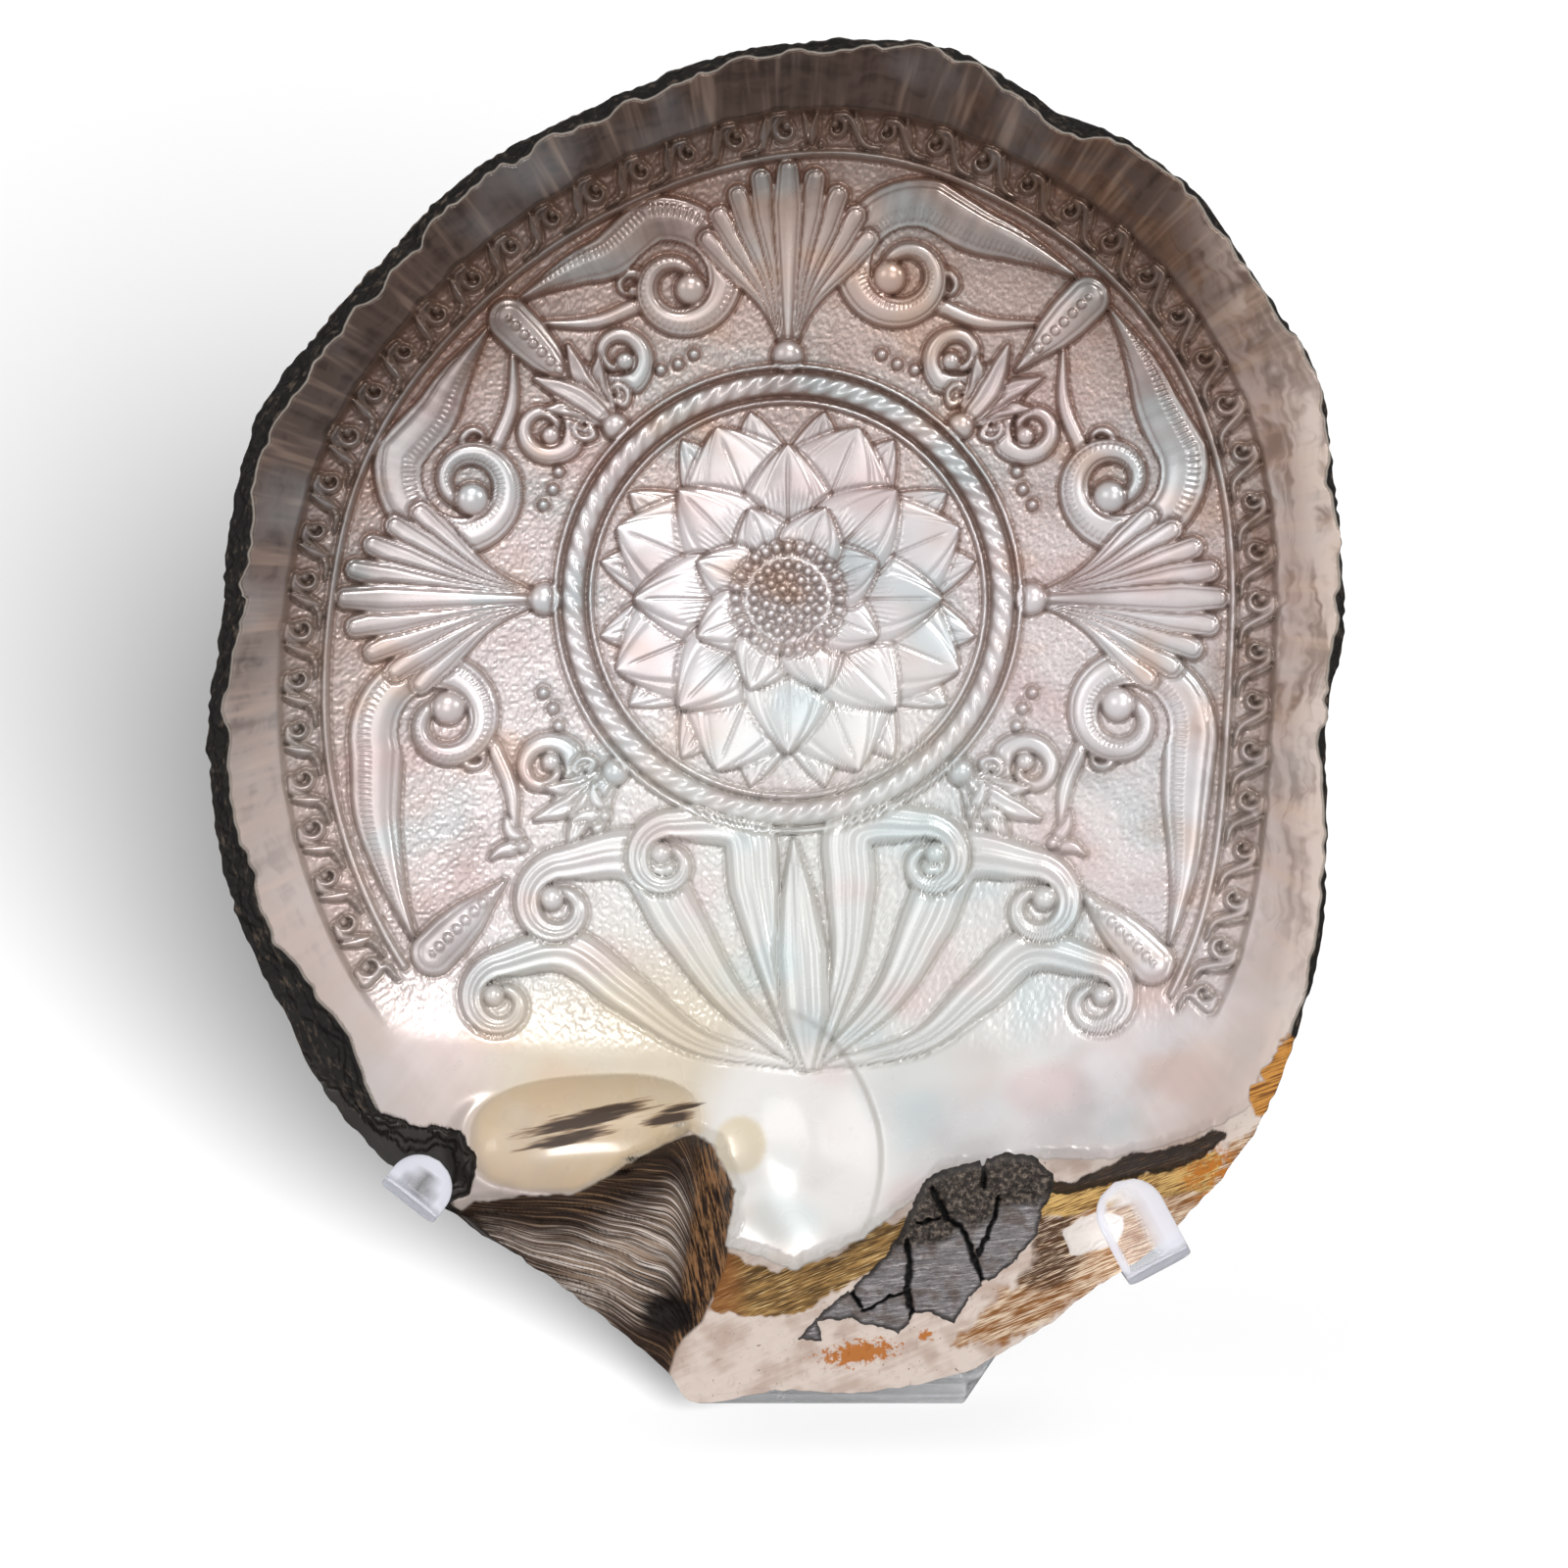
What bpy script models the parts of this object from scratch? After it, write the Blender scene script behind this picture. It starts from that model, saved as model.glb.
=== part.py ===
"""Carved pearl oyster valve resting in a clear easel. Units in the constants are millimetres.

The shell is modelled in its own plane (X right, Y from the hinge to the far margin, Z out of the
hollow face) and then leans back in the easel, facing -Y. The table is at Z = 0.
"""
import math

import bpy
import bmesh
import numpy as np
from mathutils import Matrix, Vector

MM = 0.001
GAP = 0.3

# Pose: the shell plane leans back from upright, its origin stands above the table.
LEAN_DEG = 15.0
ORIGIN = (-0.27, -18.2, 104.0)

# Margin of the valve, anticlockwise from the right, hinge at the bottom.
MARGIN = [
    (81.5, 0.0), (83.9, 14.8), (83.0, 30.2), (80.9, 46.7), (78.0, 54.6), (73.3, 61.5),
    (63.7, 75.9), (57.2, 81.7), (49.9, 86.5), (41.8, 89.6), (34.3, 94.4), (26.5, 98.8),
    (17.7, 100.3), (0.0, 99.7), (-8.6, 97.8), (-16.7, 94.8), (-32.0, 87.9), (-46.1, 79.8),
    (-57.3, 68.3), (-67.7, 56.8), (-76.4, 44.1), (-80.1, 29.1), (-81.4, 14.4), (-83.4, 0.0),
    (-82.5, -14.5), (-79.1, -28.8), (-72.8, -42.0), (-65.8, -55.2), (-55.7, -66.4),
    (-43.5, -75.3), (-30.5, -83.9), (-16.7, -94.7), (-11.5, -100.2), (0.0, -98.6),
    (17.4, -98.5), (33.9, -93.0), (47.9, -83.0), (58.8, -75.0), (71.2, -59.8), (77.4, -44.7),
    (80.9, -29.4), (81.2, -14.3),
]
HEART = (2.0, 18.0)
UMBO = (-6.0, -80.0)

# Body of the valve.
DISH_DEPTH = 11.5
HOLLOW_DEPTH = 3.0
EDGE_THICK = 3.0
BELLY = 20.0
LEDGE_DROP = 1.2
GROWTH_LEDGES = 5
GROWTH_STEP = 0.7

# Carving: a rosette in a roped ring, paired volutes, a border band and a spray of plumes.
GROUND_CUT = 1.3
RELIEF = 2.2
PETALS = 8
ROSETTE_R = 27.0
ROPE_R = 31.0
VOLUTE_ANGLES = (-22.5, 22.5, 67.5, 112.5, 157.5, 202.5)
VOLUTE_R = 9.5
VOLUTE_START = 2.2
VOLUTE_TURN = 5.2
BORDER_IN = 0.80
BORDER_OUT = 0.865
SPRAY_ROOT = (5.0, -47.0)
SPRAY_TIPS = ((-38.0, -34.0), (-20.0, -22.0), (2.5, -15.0), (25.0, -22.0), (44.0, -34.0))

# Hinge: where the nacre ends, the crest beside the hollow, and the cup to its left.
HINGE_LINE = [(-50.0, -55.0), (-44.0, -56.0), (-30.0, -70.0), (-16.0, -66.0), (-9.0, -63.0), (-7.0, -76.0),
              (3.0, -80.0), (13.0, -76.0), (22.0, -69.0), (36.0, -65.0), (49.0, -63.0), (65.0, -59.0),
              (77.0, -48.0)]
CREST_TOP = (-9.0, -62.0)
CREST_FOOT = (-14.0, -97.0)
CREST_HEIGHT = 3.0
WEDGE_FALL = 0.26
CUP = (-27.0, -60.0)
CUP_SIZE = (15.0, 8.5)
CUP_DEPTH = 4.0
CUP_LIP = 0.9

# Dried hinge ligament and the pocket that it fills.
LIGAMENT = [(19.0, -74.2), (22.2, -67.4), (28.0, -65.2), (35.0, -63.9), (39.6, -65.6), (40.4, -69.6),
            (38.6, -75.0), (34.7, -80.0), (28.5, -84.8), (25.6, -87.4), (18.4, -89.4), (12.4, -88.2),
            (4.2, -90.4), (7.4, -86.4), (13.8, -80.9)]
POCKET_FLOOR = -4.0
LIGAMENT_TOP = 2.6

# Clear easel: plate behind the shell, two hooks round its lower margin, base and brace.
PLATE_FRONT = -27.4
PLATE_THICK = 3.5
PLATE = [(-12.0, -93.8), (30.0, -93.8), (48.0, -64.0), (20.0, 22.0), (-12.0, 22.0), (-44.0, -58.0)]
WEB_THICK = 3.5
HOOK_THICK = 3.2
HOOK_WIDTH = 11.4
STEP = 0.5
LEFT_HOOK = {"foot": (-52.4, -69.0), "out": 232.0, "point": 58.0, "reach": 6.0, "front": 1.4}
RIGHT_HOOK = {"foot": (56.6, -76.9), "out": 318.0, "point": 106.0, "reach": 13.5, "front": 3.4}
BASE_THICK = 5.0
BASE = [(-12.0, -22.6), (28.0, -22.6), (44.0, 46.2), (-28.0, 46.2)]
BRACE_X = 8.0
BRACE_THICK = 6.0

SEGMENTS = 96
FACE_RINGS = 32
BACK_RINGS = 11


def smooth(low, high, x):
    t = np.clip((x - low) / (high - low), 0.0, 1.0)
    return t * t * (3.0 - 2.0 * t)


def bell(distance, width):
    return np.exp(-(distance / width) ** 2)


def closed_curve(points, steps=24):
    """Catmull-Rom curve through the points of a closed outline."""
    rounded = []
    count = len(points)
    for i in range(count):
        a, b, c, d = (np.array(points[(i + k) % count], float) for k in (-1, 0, 1, 2))
        for t in np.linspace(0.0, 1.0, steps, endpoint=False):
            rounded.append(0.5 * (2 * b + (c - a) * t + (2 * a - 5 * b + 4 * c - d) * t ** 2
                                  + (3 * b - a - 3 * c + d) * t ** 3))
    return np.array(rounded)


MARGIN_CURVE = closed_curve(MARGIN) - np.array(HEART)
MARGIN_ANGLE = np.arctan2(MARGIN_CURVE[:, 1], MARGIN_CURVE[:, 0])
MARGIN_RADIUS = np.hypot(MARGIN_CURVE[:, 0], MARGIN_CURVE[:, 1])


def margin_radius(angle):
    order = np.argsort(MARGIN_ANGLE)
    return np.interp(angle, MARGIN_ANGLE[order], MARGIN_RADIUS[order], period=2 * math.pi)


def edge_wave(angle):
    """The margin isn't flat: it rises and falls a little as it goes round."""
    return 0.9 * np.sin(2 * angle + 0.6) + 0.5 * np.sin(3 * angle)


def strand(x, y, path, widths, height):
    """Height of a rounded band laid along a path of points, with a width at each point."""
    top = np.zeros_like(x)
    for (px, py), width in zip(path, widths):
        q = np.hypot(x - px, y - py) / width
        top = np.maximum(top, height * smooth(1.15, 0.45, q))
    return top


def volute(x, y, degrees, mirrored):
    """Spiral scroll between the rope ring and the border, its tail run out along the border."""
    direction = math.radians(degrees)
    room = (ROPE_R + 2.5 + BORDER_IN * float(margin_radius(direction))) / 2
    cx = HEART[0] + room * math.cos(direction)
    cy = HEART[1] + room * math.sin(direction)
    turn = -1.0 if mirrored else 1.0
    path, widths = [], []
    for t in np.linspace(0.0, 1.0, 40):
        angle = direction + turn * (VOLUTE_START - VOLUTE_TURN * t)
        radius = VOLUTE_R * (1.7 - 1.7 * t ** 0.8)
        path.append((cx + radius * math.cos(angle), cy + radius * math.sin(angle)))
        widths.append(2.6 + 2.4 * math.sin(math.pi * t) + 2.0 * t ** 4)
    return strand(x, y, path, widths, RELIEF)


def plume(x, y, tip):
    """Tapered leaf from the root of the spray to a tip that curls outward."""
    lean = math.copysign(1.0, tip[0] - SPRAY_ROOT[0]) if abs(tip[0] - SPRAY_ROOT[0]) > 6 else 0.0
    path, widths = [], []
    for t in np.linspace(0.0, 1.0, 24):
        px = SPRAY_ROOT[0] + (tip[0] - SPRAY_ROOT[0]) * t ** 1.4
        py = SPRAY_ROOT[1] + (tip[1] - SPRAY_ROOT[1]) * math.sin(t * (1.57 + 0.5 * abs(lean)))
        path.append((px, py))
        widths.append(2.2 + 3.6 * math.sin(math.pi * (0.15 + 0.75 * t)))
    return strand(x, y, path, widths, RELIEF)


def rosette(r, angle):
    lobes = np.abs(np.cos(PETALS / 2 * (angle - math.pi / 2)))
    outer = smooth(0.0, 3.0, ROSETTE_R * (0.72 + 0.28 * lobes ** 0.8) - r)
    inner = smooth(0.0, 2.5, ROSETTE_R * 0.5 * (1.0 + 0.35 * (1.0 - lobes)) - r)
    boss = 1.6 * np.clip(1.0 - (r / 7.5) ** 2, 0.0, 1.0)
    rope = 1.6 * bell(r - ROPE_R, 1.7)
    return np.maximum(outer * (1.2 + 0.5 * lobes) + 0.5 * inner + boss, rope)


def carving(x, y, u, r, angle):
    """Relief over the natural surface: a recessed ground with the forms standing on it."""
    field = smooth(BORDER_OUT + 0.015, BORDER_OUT - 0.015, u) * smooth(-49.0, -43.0, y - 0.12 * np.abs(x - 5.0))
    forms = rosette(r, angle)
    for i, degrees in enumerate(VOLUTE_ANGLES):
        forms = np.maximum(forms, volute(x, y, degrees, i % 2 == 0))
    for tip in SPRAY_TIPS:
        forms = np.maximum(forms, plume(x, y, tip))
    band = 1.1 * smooth(BORDER_IN - 0.01, BORDER_IN + 0.015, u)
    return field * (np.maximum(forms, band) - GROUND_CUT)


def distance_to_line(x, y, points):
    """Shortest distance to a chain of straight runs."""
    nearest = np.full_like(x, 1e9)
    for (ax, ay), (bx, by) in zip(points, points[1:]):
        run = (bx - ax) ** 2 + (by - ay) ** 2
        t = np.clip(((x - ax) * (bx - ax) + (y - ay) * (by - ay)) / run, 0.0, 1.0)
        nearest = np.minimum(nearest, np.hypot(x - ax - t * (bx - ax), y - ay - t * (by - ay)))
    return nearest


def hinge(x, y):
    """Height of the hinge side and how far a point lies inside it."""
    line = np.interp(x, [p[0] for p in HINGE_LINE], [p[1] for p in HINGE_LINE])
    inside = np.sign(line - y) * distance_to_line(x, y, HINGE_LINE)
    along = (y - CREST_FOOT[1]) / (CREST_TOP[1] - CREST_FOOT[1])
    crest_x = CREST_FOOT[0] + (CREST_TOP[0] - CREST_FOOT[0]) * along
    left = CREST_HEIGHT - WEDGE_FALL * np.clip(crest_x - x, 0.0, None)
    right = 0.4 + (CREST_HEIGHT - 0.4) * bell(np.clip(x - crest_x, 0.0, None), 4.0)
    right = right - 0.10 * np.clip(inside - 12.0, 0.0, None)
    return np.where(x < crest_x, left, right), inside


def face_height(x, y, u, r, angle):
    dish = -DISH_DEPTH * (1.0 - u ** 2)
    dish = dish - HOLLOW_DEPTH * bell(np.hypot((x - 4.0) / 1.0, (y + 62.0) / 1.2), 15.0)
    surface = dish + carving(x, y, u, r, angle)
    shelf, inside = hinge(x, y)
    weight = smooth(-3.5, 4.5, inside) * smooth(-54.0, -44.0, x)
    surface = surface * (1.0 - weight) + shelf * weight
    cup = ((x - CUP[0]) / CUP_SIZE[0]) ** 2 + ((y - CUP[1]) / CUP_SIZE[1]) ** 2
    lip = CUP_LIP * bell(np.sqrt(cup) - 1.08, 0.16) * smooth(-14.0, -22.0, x)
    surface = surface - CUP_DEPTH * np.clip(1.0 - cup, 0.0, 1.0) + lip
    dark_edge = smooth(0.94, 0.975, u) * smooth(80.0, 100.0, np.degrees(angle) % 360)
    dark_edge = dark_edge * smooth(250.0, 232.0, np.degrees(angle) % 360)
    return surface - LEDGE_DROP * dark_edge + edge_wave(angle) * u ** 2


def back_height(g, angle):
    ledge = GROWTH_STEP * ((g * GROWTH_LEDGES) % 1.0 - 0.5) * smooth(0.15, 0.35, g) * smooth(1.0, 0.96, g)
    return -EDGE_THICK - BELLY * (1.0 - g ** 3) + ledge + edge_wave(angle) * g ** 2


def shell_mesh():
    """A sphere whose upper rings become the carved face and whose lower rings become the back."""
    rings = FACE_RINGS + BACK_RINGS
    bpy.ops.mesh.primitive_uv_sphere_add(segments=SEGMENTS, ring_count=rings, radius=1.0)
    shell = bpy.context.object
    points = np.array([v.co for v in shell.data.vertices])
    angle = np.arctan2(points[:, 1], points[:, 0])
    ring = np.rint(np.arccos(np.clip(points[:, 2], -1.0, 1.0)) / math.pi * rings)
    front = ring <= FACE_RINGS
    radius = margin_radius(angle)

    u = np.clip(ring / FACE_RINGS, 0.0, 1.0)
    x = HEART[0] + u * radius * np.cos(angle)
    y = HEART[1] + u * radius * np.sin(angle)
    z = face_height(x, y, u, u * radius, angle)

    g = np.clip((rings - ring) / BACK_RINGS, 0.0, 1.0) ** 0.8
    back_x = UMBO[0] + g * (HEART[0] + radius * np.cos(angle) - UMBO[0])
    back_y = UMBO[1] + g * (HEART[1] + radius * np.sin(angle) - UMBO[1])
    x = np.where(front, x, back_x)
    y = np.where(front, y, back_y)
    z = np.where(front, z, back_height(g, angle))
    for vertex, co in zip(shell.data.vertices, np.stack([x, y, z], axis=1) * MM):
        vertex.co = co
    return shell


def prism(name, outline, low, high, bevel=0.0):
    """Upright block between two heights, its outline drawn in X and Y."""
    curve = bpy.data.curves.new(name, "CURVE")
    curve.dimensions = "2D"
    curve.fill_mode = "BOTH"
    curve.extrude = (high - low) / 2 * MM
    spline = curve.splines.new("POLY")
    spline.points.add(len(outline) - 1)
    for point, (x, y) in zip(spline.points, outline):
        point.co = (x * MM, y * MM, 0.0, 1.0)
    spline.use_cyclic_u = True
    flat = bpy.data.objects.new(name + "_outline", curve)
    bpy.context.scene.collection.objects.link(flat)
    bpy.context.view_layer.update()
    mesh = bpy.data.meshes.new_from_object(flat.evaluated_get(bpy.context.evaluated_depsgraph_get()))
    bpy.data.objects.remove(flat)
    bm = bmesh.new()
    bm.from_mesh(mesh)
    bmesh.ops.remove_doubles(bm, verts=bm.verts, dist=1e-6)
    bmesh.ops.translate(bm, verts=bm.verts, vec=(0.0, 0.0, (low + high) / 2 * MM))
    bmesh.ops.recalc_face_normals(bm, faces=bm.faces)
    bm.to_mesh(mesh)
    bm.free()
    mesh.name = name
    block = bpy.data.objects.new(name, mesh)
    if bevel:
        rounding = block.modifiers.new("rounded edges", "BEVEL")
        rounding.width = bevel * MM
        rounding.segments = 2
        rounding.limit_method = "ANGLE"
    return block


def boolean(target, other, operation):
    step = target.modifiers.new(operation.lower() + " " + other.name, "BOOLEAN")
    step.object = other
    step.operation = operation
    step.solver = "EXACT"


def finish(name, color, roughness, alpha=1.0):
    material = bpy.data.materials.new(name)
    material.use_nodes = True
    surface = material.node_tree.nodes["Principled BSDF"]
    surface.inputs["Base Color"].default_value = (*color, 1.0)
    surface.inputs["Roughness"].default_value = roughness
    surface.inputs["Metallic"].default_value = 0.0
    surface.inputs["Alpha"].default_value = alpha
    return material


def offset_outline(outline, amount):
    """Outline moved outward by an amount, point by point along its mean normal."""
    points = [Vector(p) for p in outline]
    area = sum(a.x * b.y - b.x * a.y for a, b in zip(points, points[1:] + points[:1]))
    side = 1.0 if area > 0 else -1.0
    moved = []
    for i, point in enumerate(points):
        before = (point - points[i - 1]).normalized()
        after = (points[(i + 1) % len(points)] - point).normalized()
        tangent = (before + after).normalized()
        moved.append(tuple(point + side * amount * Vector((tangent.y, -tangent.x))))
    return moved


def turned_box(centre, degrees, length, width):
    """Corners of a rectangle, its length along the direction given."""
    along = Vector((math.cos(math.radians(degrees)), math.sin(math.radians(degrees))))
    across = Vector((-along.y, along.x))
    corners = []
    for a, b in ((-0.5, -0.5), (0.5, -0.5), (0.5, 0.5), (-0.5, 0.5)):
        corners.append(tuple(Vector(centre) + along * length * a + across * width * b))
    return corners


def tongue_outline(foot, degrees, below, reach, width):
    """Strip with a round end, from below its foot to its reach above it."""
    along = Vector((math.cos(math.radians(degrees)), math.sin(math.radians(degrees))))
    across = Vector((along.y, -along.x))
    half = width / 2
    foot = Vector(foot)
    outline = [tuple(foot - along * below - across * half), tuple(foot - along * below + across * half)]
    top = foot + along * max(reach - half, 0.0)
    for i in range(9):
        turn = math.pi * i / 8
        outline.append(tuple(top + across * half * math.cos(turn) + along * half * math.sin(turn)))
    return outline


def make_hook(name, hook):
    """Tongue in front of the margin, web outside it and arm back to the plate."""
    out = Vector((math.cos(math.radians(hook["out"])), math.sin(math.radians(hook["out"]))))
    web_centre = Vector(hook["foot"]) + out * (1.2 + WEB_THICK / 2)
    top = hook["front"] + HOOK_THICK
    below = 1.8 + WEB_THICK
    tongue = prism(name + "_tongue",
                   tongue_outline(hook["foot"], hook["point"], below, hook["reach"], HOOK_WIDTH + 0.8),
                   hook["front"], top)
    web = prism(name + "_web", turned_box(web_centre, hook["out"], WEB_THICK, HOOK_WIDTH),
                PLATE_FRONT - PLATE_THICK - STEP, top - STEP)
    arm_centre = web_centre - out * 16.0
    arm = prism(name + "_arm", turned_box(arm_centre, hook["out"], 32.0, HOOK_WIDTH - 2.0),
                PLATE_FRONT - PLATE_THICK + STEP, PLATE_FRONT - STEP)
    return [tongue, web, arm]


def world_point(x, y, z):
    """Place of a point of the shell's frame, in millimetres above the table."""
    turned = Matrix.Rotation(math.radians(90.0 - LEAN_DEG), 3, "X") @ Vector((x, y, z))
    return turned + Vector(ORIGIN)


def stand_up(obj):
    obj.rotation_euler = (math.radians(90.0 - LEAN_DEG), 0.0, 0.0)
    obj.location = Vector(ORIGIN) * MM


for old in list(bpy.data.objects):
    bpy.data.objects.remove(old)

parts = bpy.data.collections.new("carved pearl shell")
cutters = bpy.data.collections.new("cutters")
for collection in (parts, cutters):
    bpy.context.scene.collection.children.link(collection)


def keep(obj, collection):
    for owner in list(obj.users_collection):
        owner.objects.unlink(obj)
    collection.objects.link(obj)


def as_cutter(obj):
    keep(obj, cutters)
    obj.hide_render = True
    obj.display_type = "WIRE"


# The valve, with a pocket for its ligament.
shell = shell_mesh()
shell.name = "shell"
shell.data.name = "shell"
keep(shell, parts)
stand_up(shell)
pocket = prism("ligament_pocket", offset_outline(LIGAMENT, GAP), POCKET_FLOOR, 12.0)
as_cutter(pocket)
stand_up(pocket)
boolean(shell, pocket, "DIFFERENCE")
shell.data.materials.append(finish("nacre", (0.72, 0.64, 0.60), 0.28))

# The ligament fills the pocket and stands a little proud.
ligament = prism("hinge_ligament", LIGAMENT, POCKET_FLOOR + GAP, LIGAMENT_TOP, bevel=0.8)
keep(ligament, parts)
stand_up(ligament)
ligament.data.materials.append(finish("dried horn", (0.05, 0.045, 0.045), 0.6))

# Plate with both hooks, one bent and welded piece of clear sheet.
clear = finish("clear acrylic", (0.92, 0.94, 0.97), 0.06, 0.35)
plate = prism("easel_back", PLATE, PLATE_FRONT - PLATE_THICK, PLATE_FRONT)
keep(plate, parts)
stand_up(plate)
plate.data.materials.append(clear)
for side, hook in (("left_hook", LEFT_HOOK), ("right_hook", RIGHT_HOOK)):
    for block in make_hook(side, hook):
        as_cutter(block)
        stand_up(block)
        boolean(plate, block, "UNION")

# Base plate on the table.
base = prism("easel_base", [(x, y) for x, y in BASE], 0.0, BASE_THICK, bevel=0.8)
keep(base, parts)
base.data.materials.append(clear)

# Brace from the base up to the back of the plate.
rear = PLATE_FRONT - PLATE_THICK - GAP
foot = world_point(BRACE_X, -92.0, rear)
head = world_point(BRACE_X, -20.0, rear)
bottom = BASE_THICK + GAP
slope = (head.y - foot.y) / (head.z - foot.z)
lower_front = foot.y + (bottom - foot.z) * slope
brace_outline = [(lower_front, bottom), (BASE[2][1] - 3.0, bottom), (BASE[2][1] - 3.0, bottom + 6.0),
                 (head.y + 5.0, head.z), (head.y, head.z)]
brace = prism("easel_brace", brace_outline, -BRACE_THICK / 2, BRACE_THICK / 2)
keep(brace, parts)
brace.rotation_euler = (math.radians(90.0), 0.0, math.radians(90.0))
brace.location = (BRACE_X * MM, 0.0, 0.0)
brace.data.materials.append(clear)
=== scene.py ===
import math

import bmesh
import bpy
import numpy as np
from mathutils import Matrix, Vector


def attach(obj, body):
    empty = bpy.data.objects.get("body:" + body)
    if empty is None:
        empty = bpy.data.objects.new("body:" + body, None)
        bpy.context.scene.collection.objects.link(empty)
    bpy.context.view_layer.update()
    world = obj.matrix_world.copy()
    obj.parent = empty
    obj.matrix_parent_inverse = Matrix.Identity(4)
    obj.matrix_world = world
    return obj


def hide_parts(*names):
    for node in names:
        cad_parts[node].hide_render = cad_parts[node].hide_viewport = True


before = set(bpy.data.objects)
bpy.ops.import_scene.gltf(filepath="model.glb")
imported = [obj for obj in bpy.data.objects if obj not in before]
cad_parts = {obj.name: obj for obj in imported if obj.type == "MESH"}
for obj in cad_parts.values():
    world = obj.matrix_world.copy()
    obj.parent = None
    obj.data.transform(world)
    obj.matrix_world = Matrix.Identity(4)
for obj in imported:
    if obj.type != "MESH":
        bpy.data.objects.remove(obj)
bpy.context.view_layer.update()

# The valve
# One grown valve of a pearl oyster: a shallow dish of nacre over a dark flaky outer crust, its hinge
# side thick and layered. The face is ground back and carved in low relief: a rosette in a roped
# ring, paired volutes, fans and buds, a running scroll border and a spray of plumes.
# Lengths are millimetres in the shell's own plane: x to the right, y away from the hinge, z towards
# the viewer. The last step leans the plane back in the easel.
MM = 0.001
LEAN = math.radians(75.0)
ORIGIN = (-0.27, -18.2, 104.0)
MARGIN = [
    (81.5, 0.0), (83.9, 14.8), (83.0, 30.2), (80.9, 46.7), (78.0, 54.6), (73.3, 61.5), (63.7, 75.9),
    (57.2, 81.7), (49.9, 86.5), (41.8, 89.6), (34.3, 94.4), (26.5, 98.8), (17.7, 100.3), (0.0, 99.7),
    (-8.6, 97.8), (-16.7, 94.8), (-32.0, 87.9), (-46.1, 79.8), (-57.3, 68.3), (-67.7, 56.8),
    (-76.4, 44.1), (-80.1, 29.1), (-81.4, 14.4), (-83.4, 0.0), (-82.5, -14.5), (-79.1, -28.8),
    (-72.8, -42.0), (-65.8, -55.2), (-55.7, -66.4), (-43.5, -75.3), (-30.5, -83.9), (-16.7, -94.7),
    (-11.5, -100.2), (0.0, -98.6), (17.4, -98.5), (33.9, -93.0), (47.9, -83.0), (58.8, -75.0),
    (71.2, -59.8), (77.4, -44.7), (80.9, -29.4), (81.2, -14.3),
]
HEART = np.array([2.0, 18.0])
UMBO = np.array([-6.0, -80.0])
CELL = 0.14


def smooth(low, high, x):
    t = np.clip((x - low) / (high - low), 0.0, 1.0)
    return t * t * (3.0 - 2.0 * t)


def bell(x, width):
    return np.exp(-(x / width) ** 2)


def noise(a, b, seed):
    """Smooth random field from -1 to 1 with one value per unit square."""
    table = np.random.default_rng(seed).uniform(-1.0, 1.0, (256, 256))
    i, j = np.floor(a).astype(int), np.floor(b).astype(int)
    f, g = smooth(0.0, 1.0, a - i), smooth(0.0, 1.0, b - j)
    i, j = i & 255, j & 255
    k, l = (i + 1) & 255, (j + 1) & 255
    low = table[i, j] * (1.0 - f) + table[k, j] * f
    high = table[i, l] * (1.0 - f) + table[k, l] * f
    return low * (1.0 - g) + high * g


def curve_through(points, steps=24, closed=False):
    """Smooth curve through the points."""
    points = [np.asarray(p, float) for p in points]
    if not closed:
        points = [2 * points[0] - points[1]] + points + [2 * points[-1] - points[-2]]
    count = len(points)
    runs = range(count) if closed else range(1, count - 2)
    out = []
    for i in runs:
        a, b, c, d = (points[(i + k) % count] for k in (-1, 0, 1, 2))
        for t in np.linspace(0.0, 1.0, steps, endpoint=False):
            out.append(0.5 * (2 * b + (c - a) * t + (2 * a - 5 * b + 4 * c - d) * t ** 2
                              + (3 * b - a - 3 * c + d) * t ** 3))
    if not closed:
        out.append(points[-2])
    return np.array(out)


margin_line = curve_through(MARGIN, closed=True) - HEART
margin_angle = np.arctan2(margin_line[:, 1], margin_line[:, 0])


def edge_radius(angle):
    return np.interp(angle, margin_angle, np.hypot(*margin_line.T), period=2 * math.pi)


def edge_wave(angle):
    return 0.9 * np.sin(2 * angle + 0.6) + 0.5 * np.sin(3 * angle)


grid_x = np.arange(-87.0, 87.0, CELL)
grid_y = np.arange(-104.0, 104.0, CELL)
X, Y = np.meshgrid(grid_x, grid_y)
R = np.hypot(X - HEART[0], Y - HEART[1])
ANGLE = np.arctan2(Y - HEART[1], X - HEART[0])
DEGREES = np.degrees(ANGLE) % 360.0
EDGE = edge_radius(ANGLE) - R
U = R / edge_radius(ANGLE)

# Carving. Each form is laid on the ones before it, with a fine groove cut round it. The field keeps to
# an oval, the margin's own line with its corners evened out.
GROUND_CUT = 1.4
BORDER_IN, BORDER_MID, BORDER_OUT = 0.796, 0.834, 0.868
oval_angle = np.radians(np.arange(-180.0, 180.0))
oval_weight = bell(np.arange(-30.0, 31.0), 14.0)
oval_line = np.pad(edge_radius(oval_angle), 30, mode="wrap")
oval_line = np.convolve(oval_line, oval_weight / oval_weight.sum(), mode="valid")


def oval_radius(angle):
    return np.interp(angle, oval_angle, oval_line, period=2 * math.pi)


V = R / oval_radius(ANGLE)
field = smooth(BORDER_OUT + 0.010, BORDER_OUT - 0.004, V)
field = field * smooth(-54.0, -40.0, Y - 0.10 * np.abs(X - 5.0))
relief = -GROUND_CUT * field
form = np.zeros_like(X)
groove = np.zeros_like(X)


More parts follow.
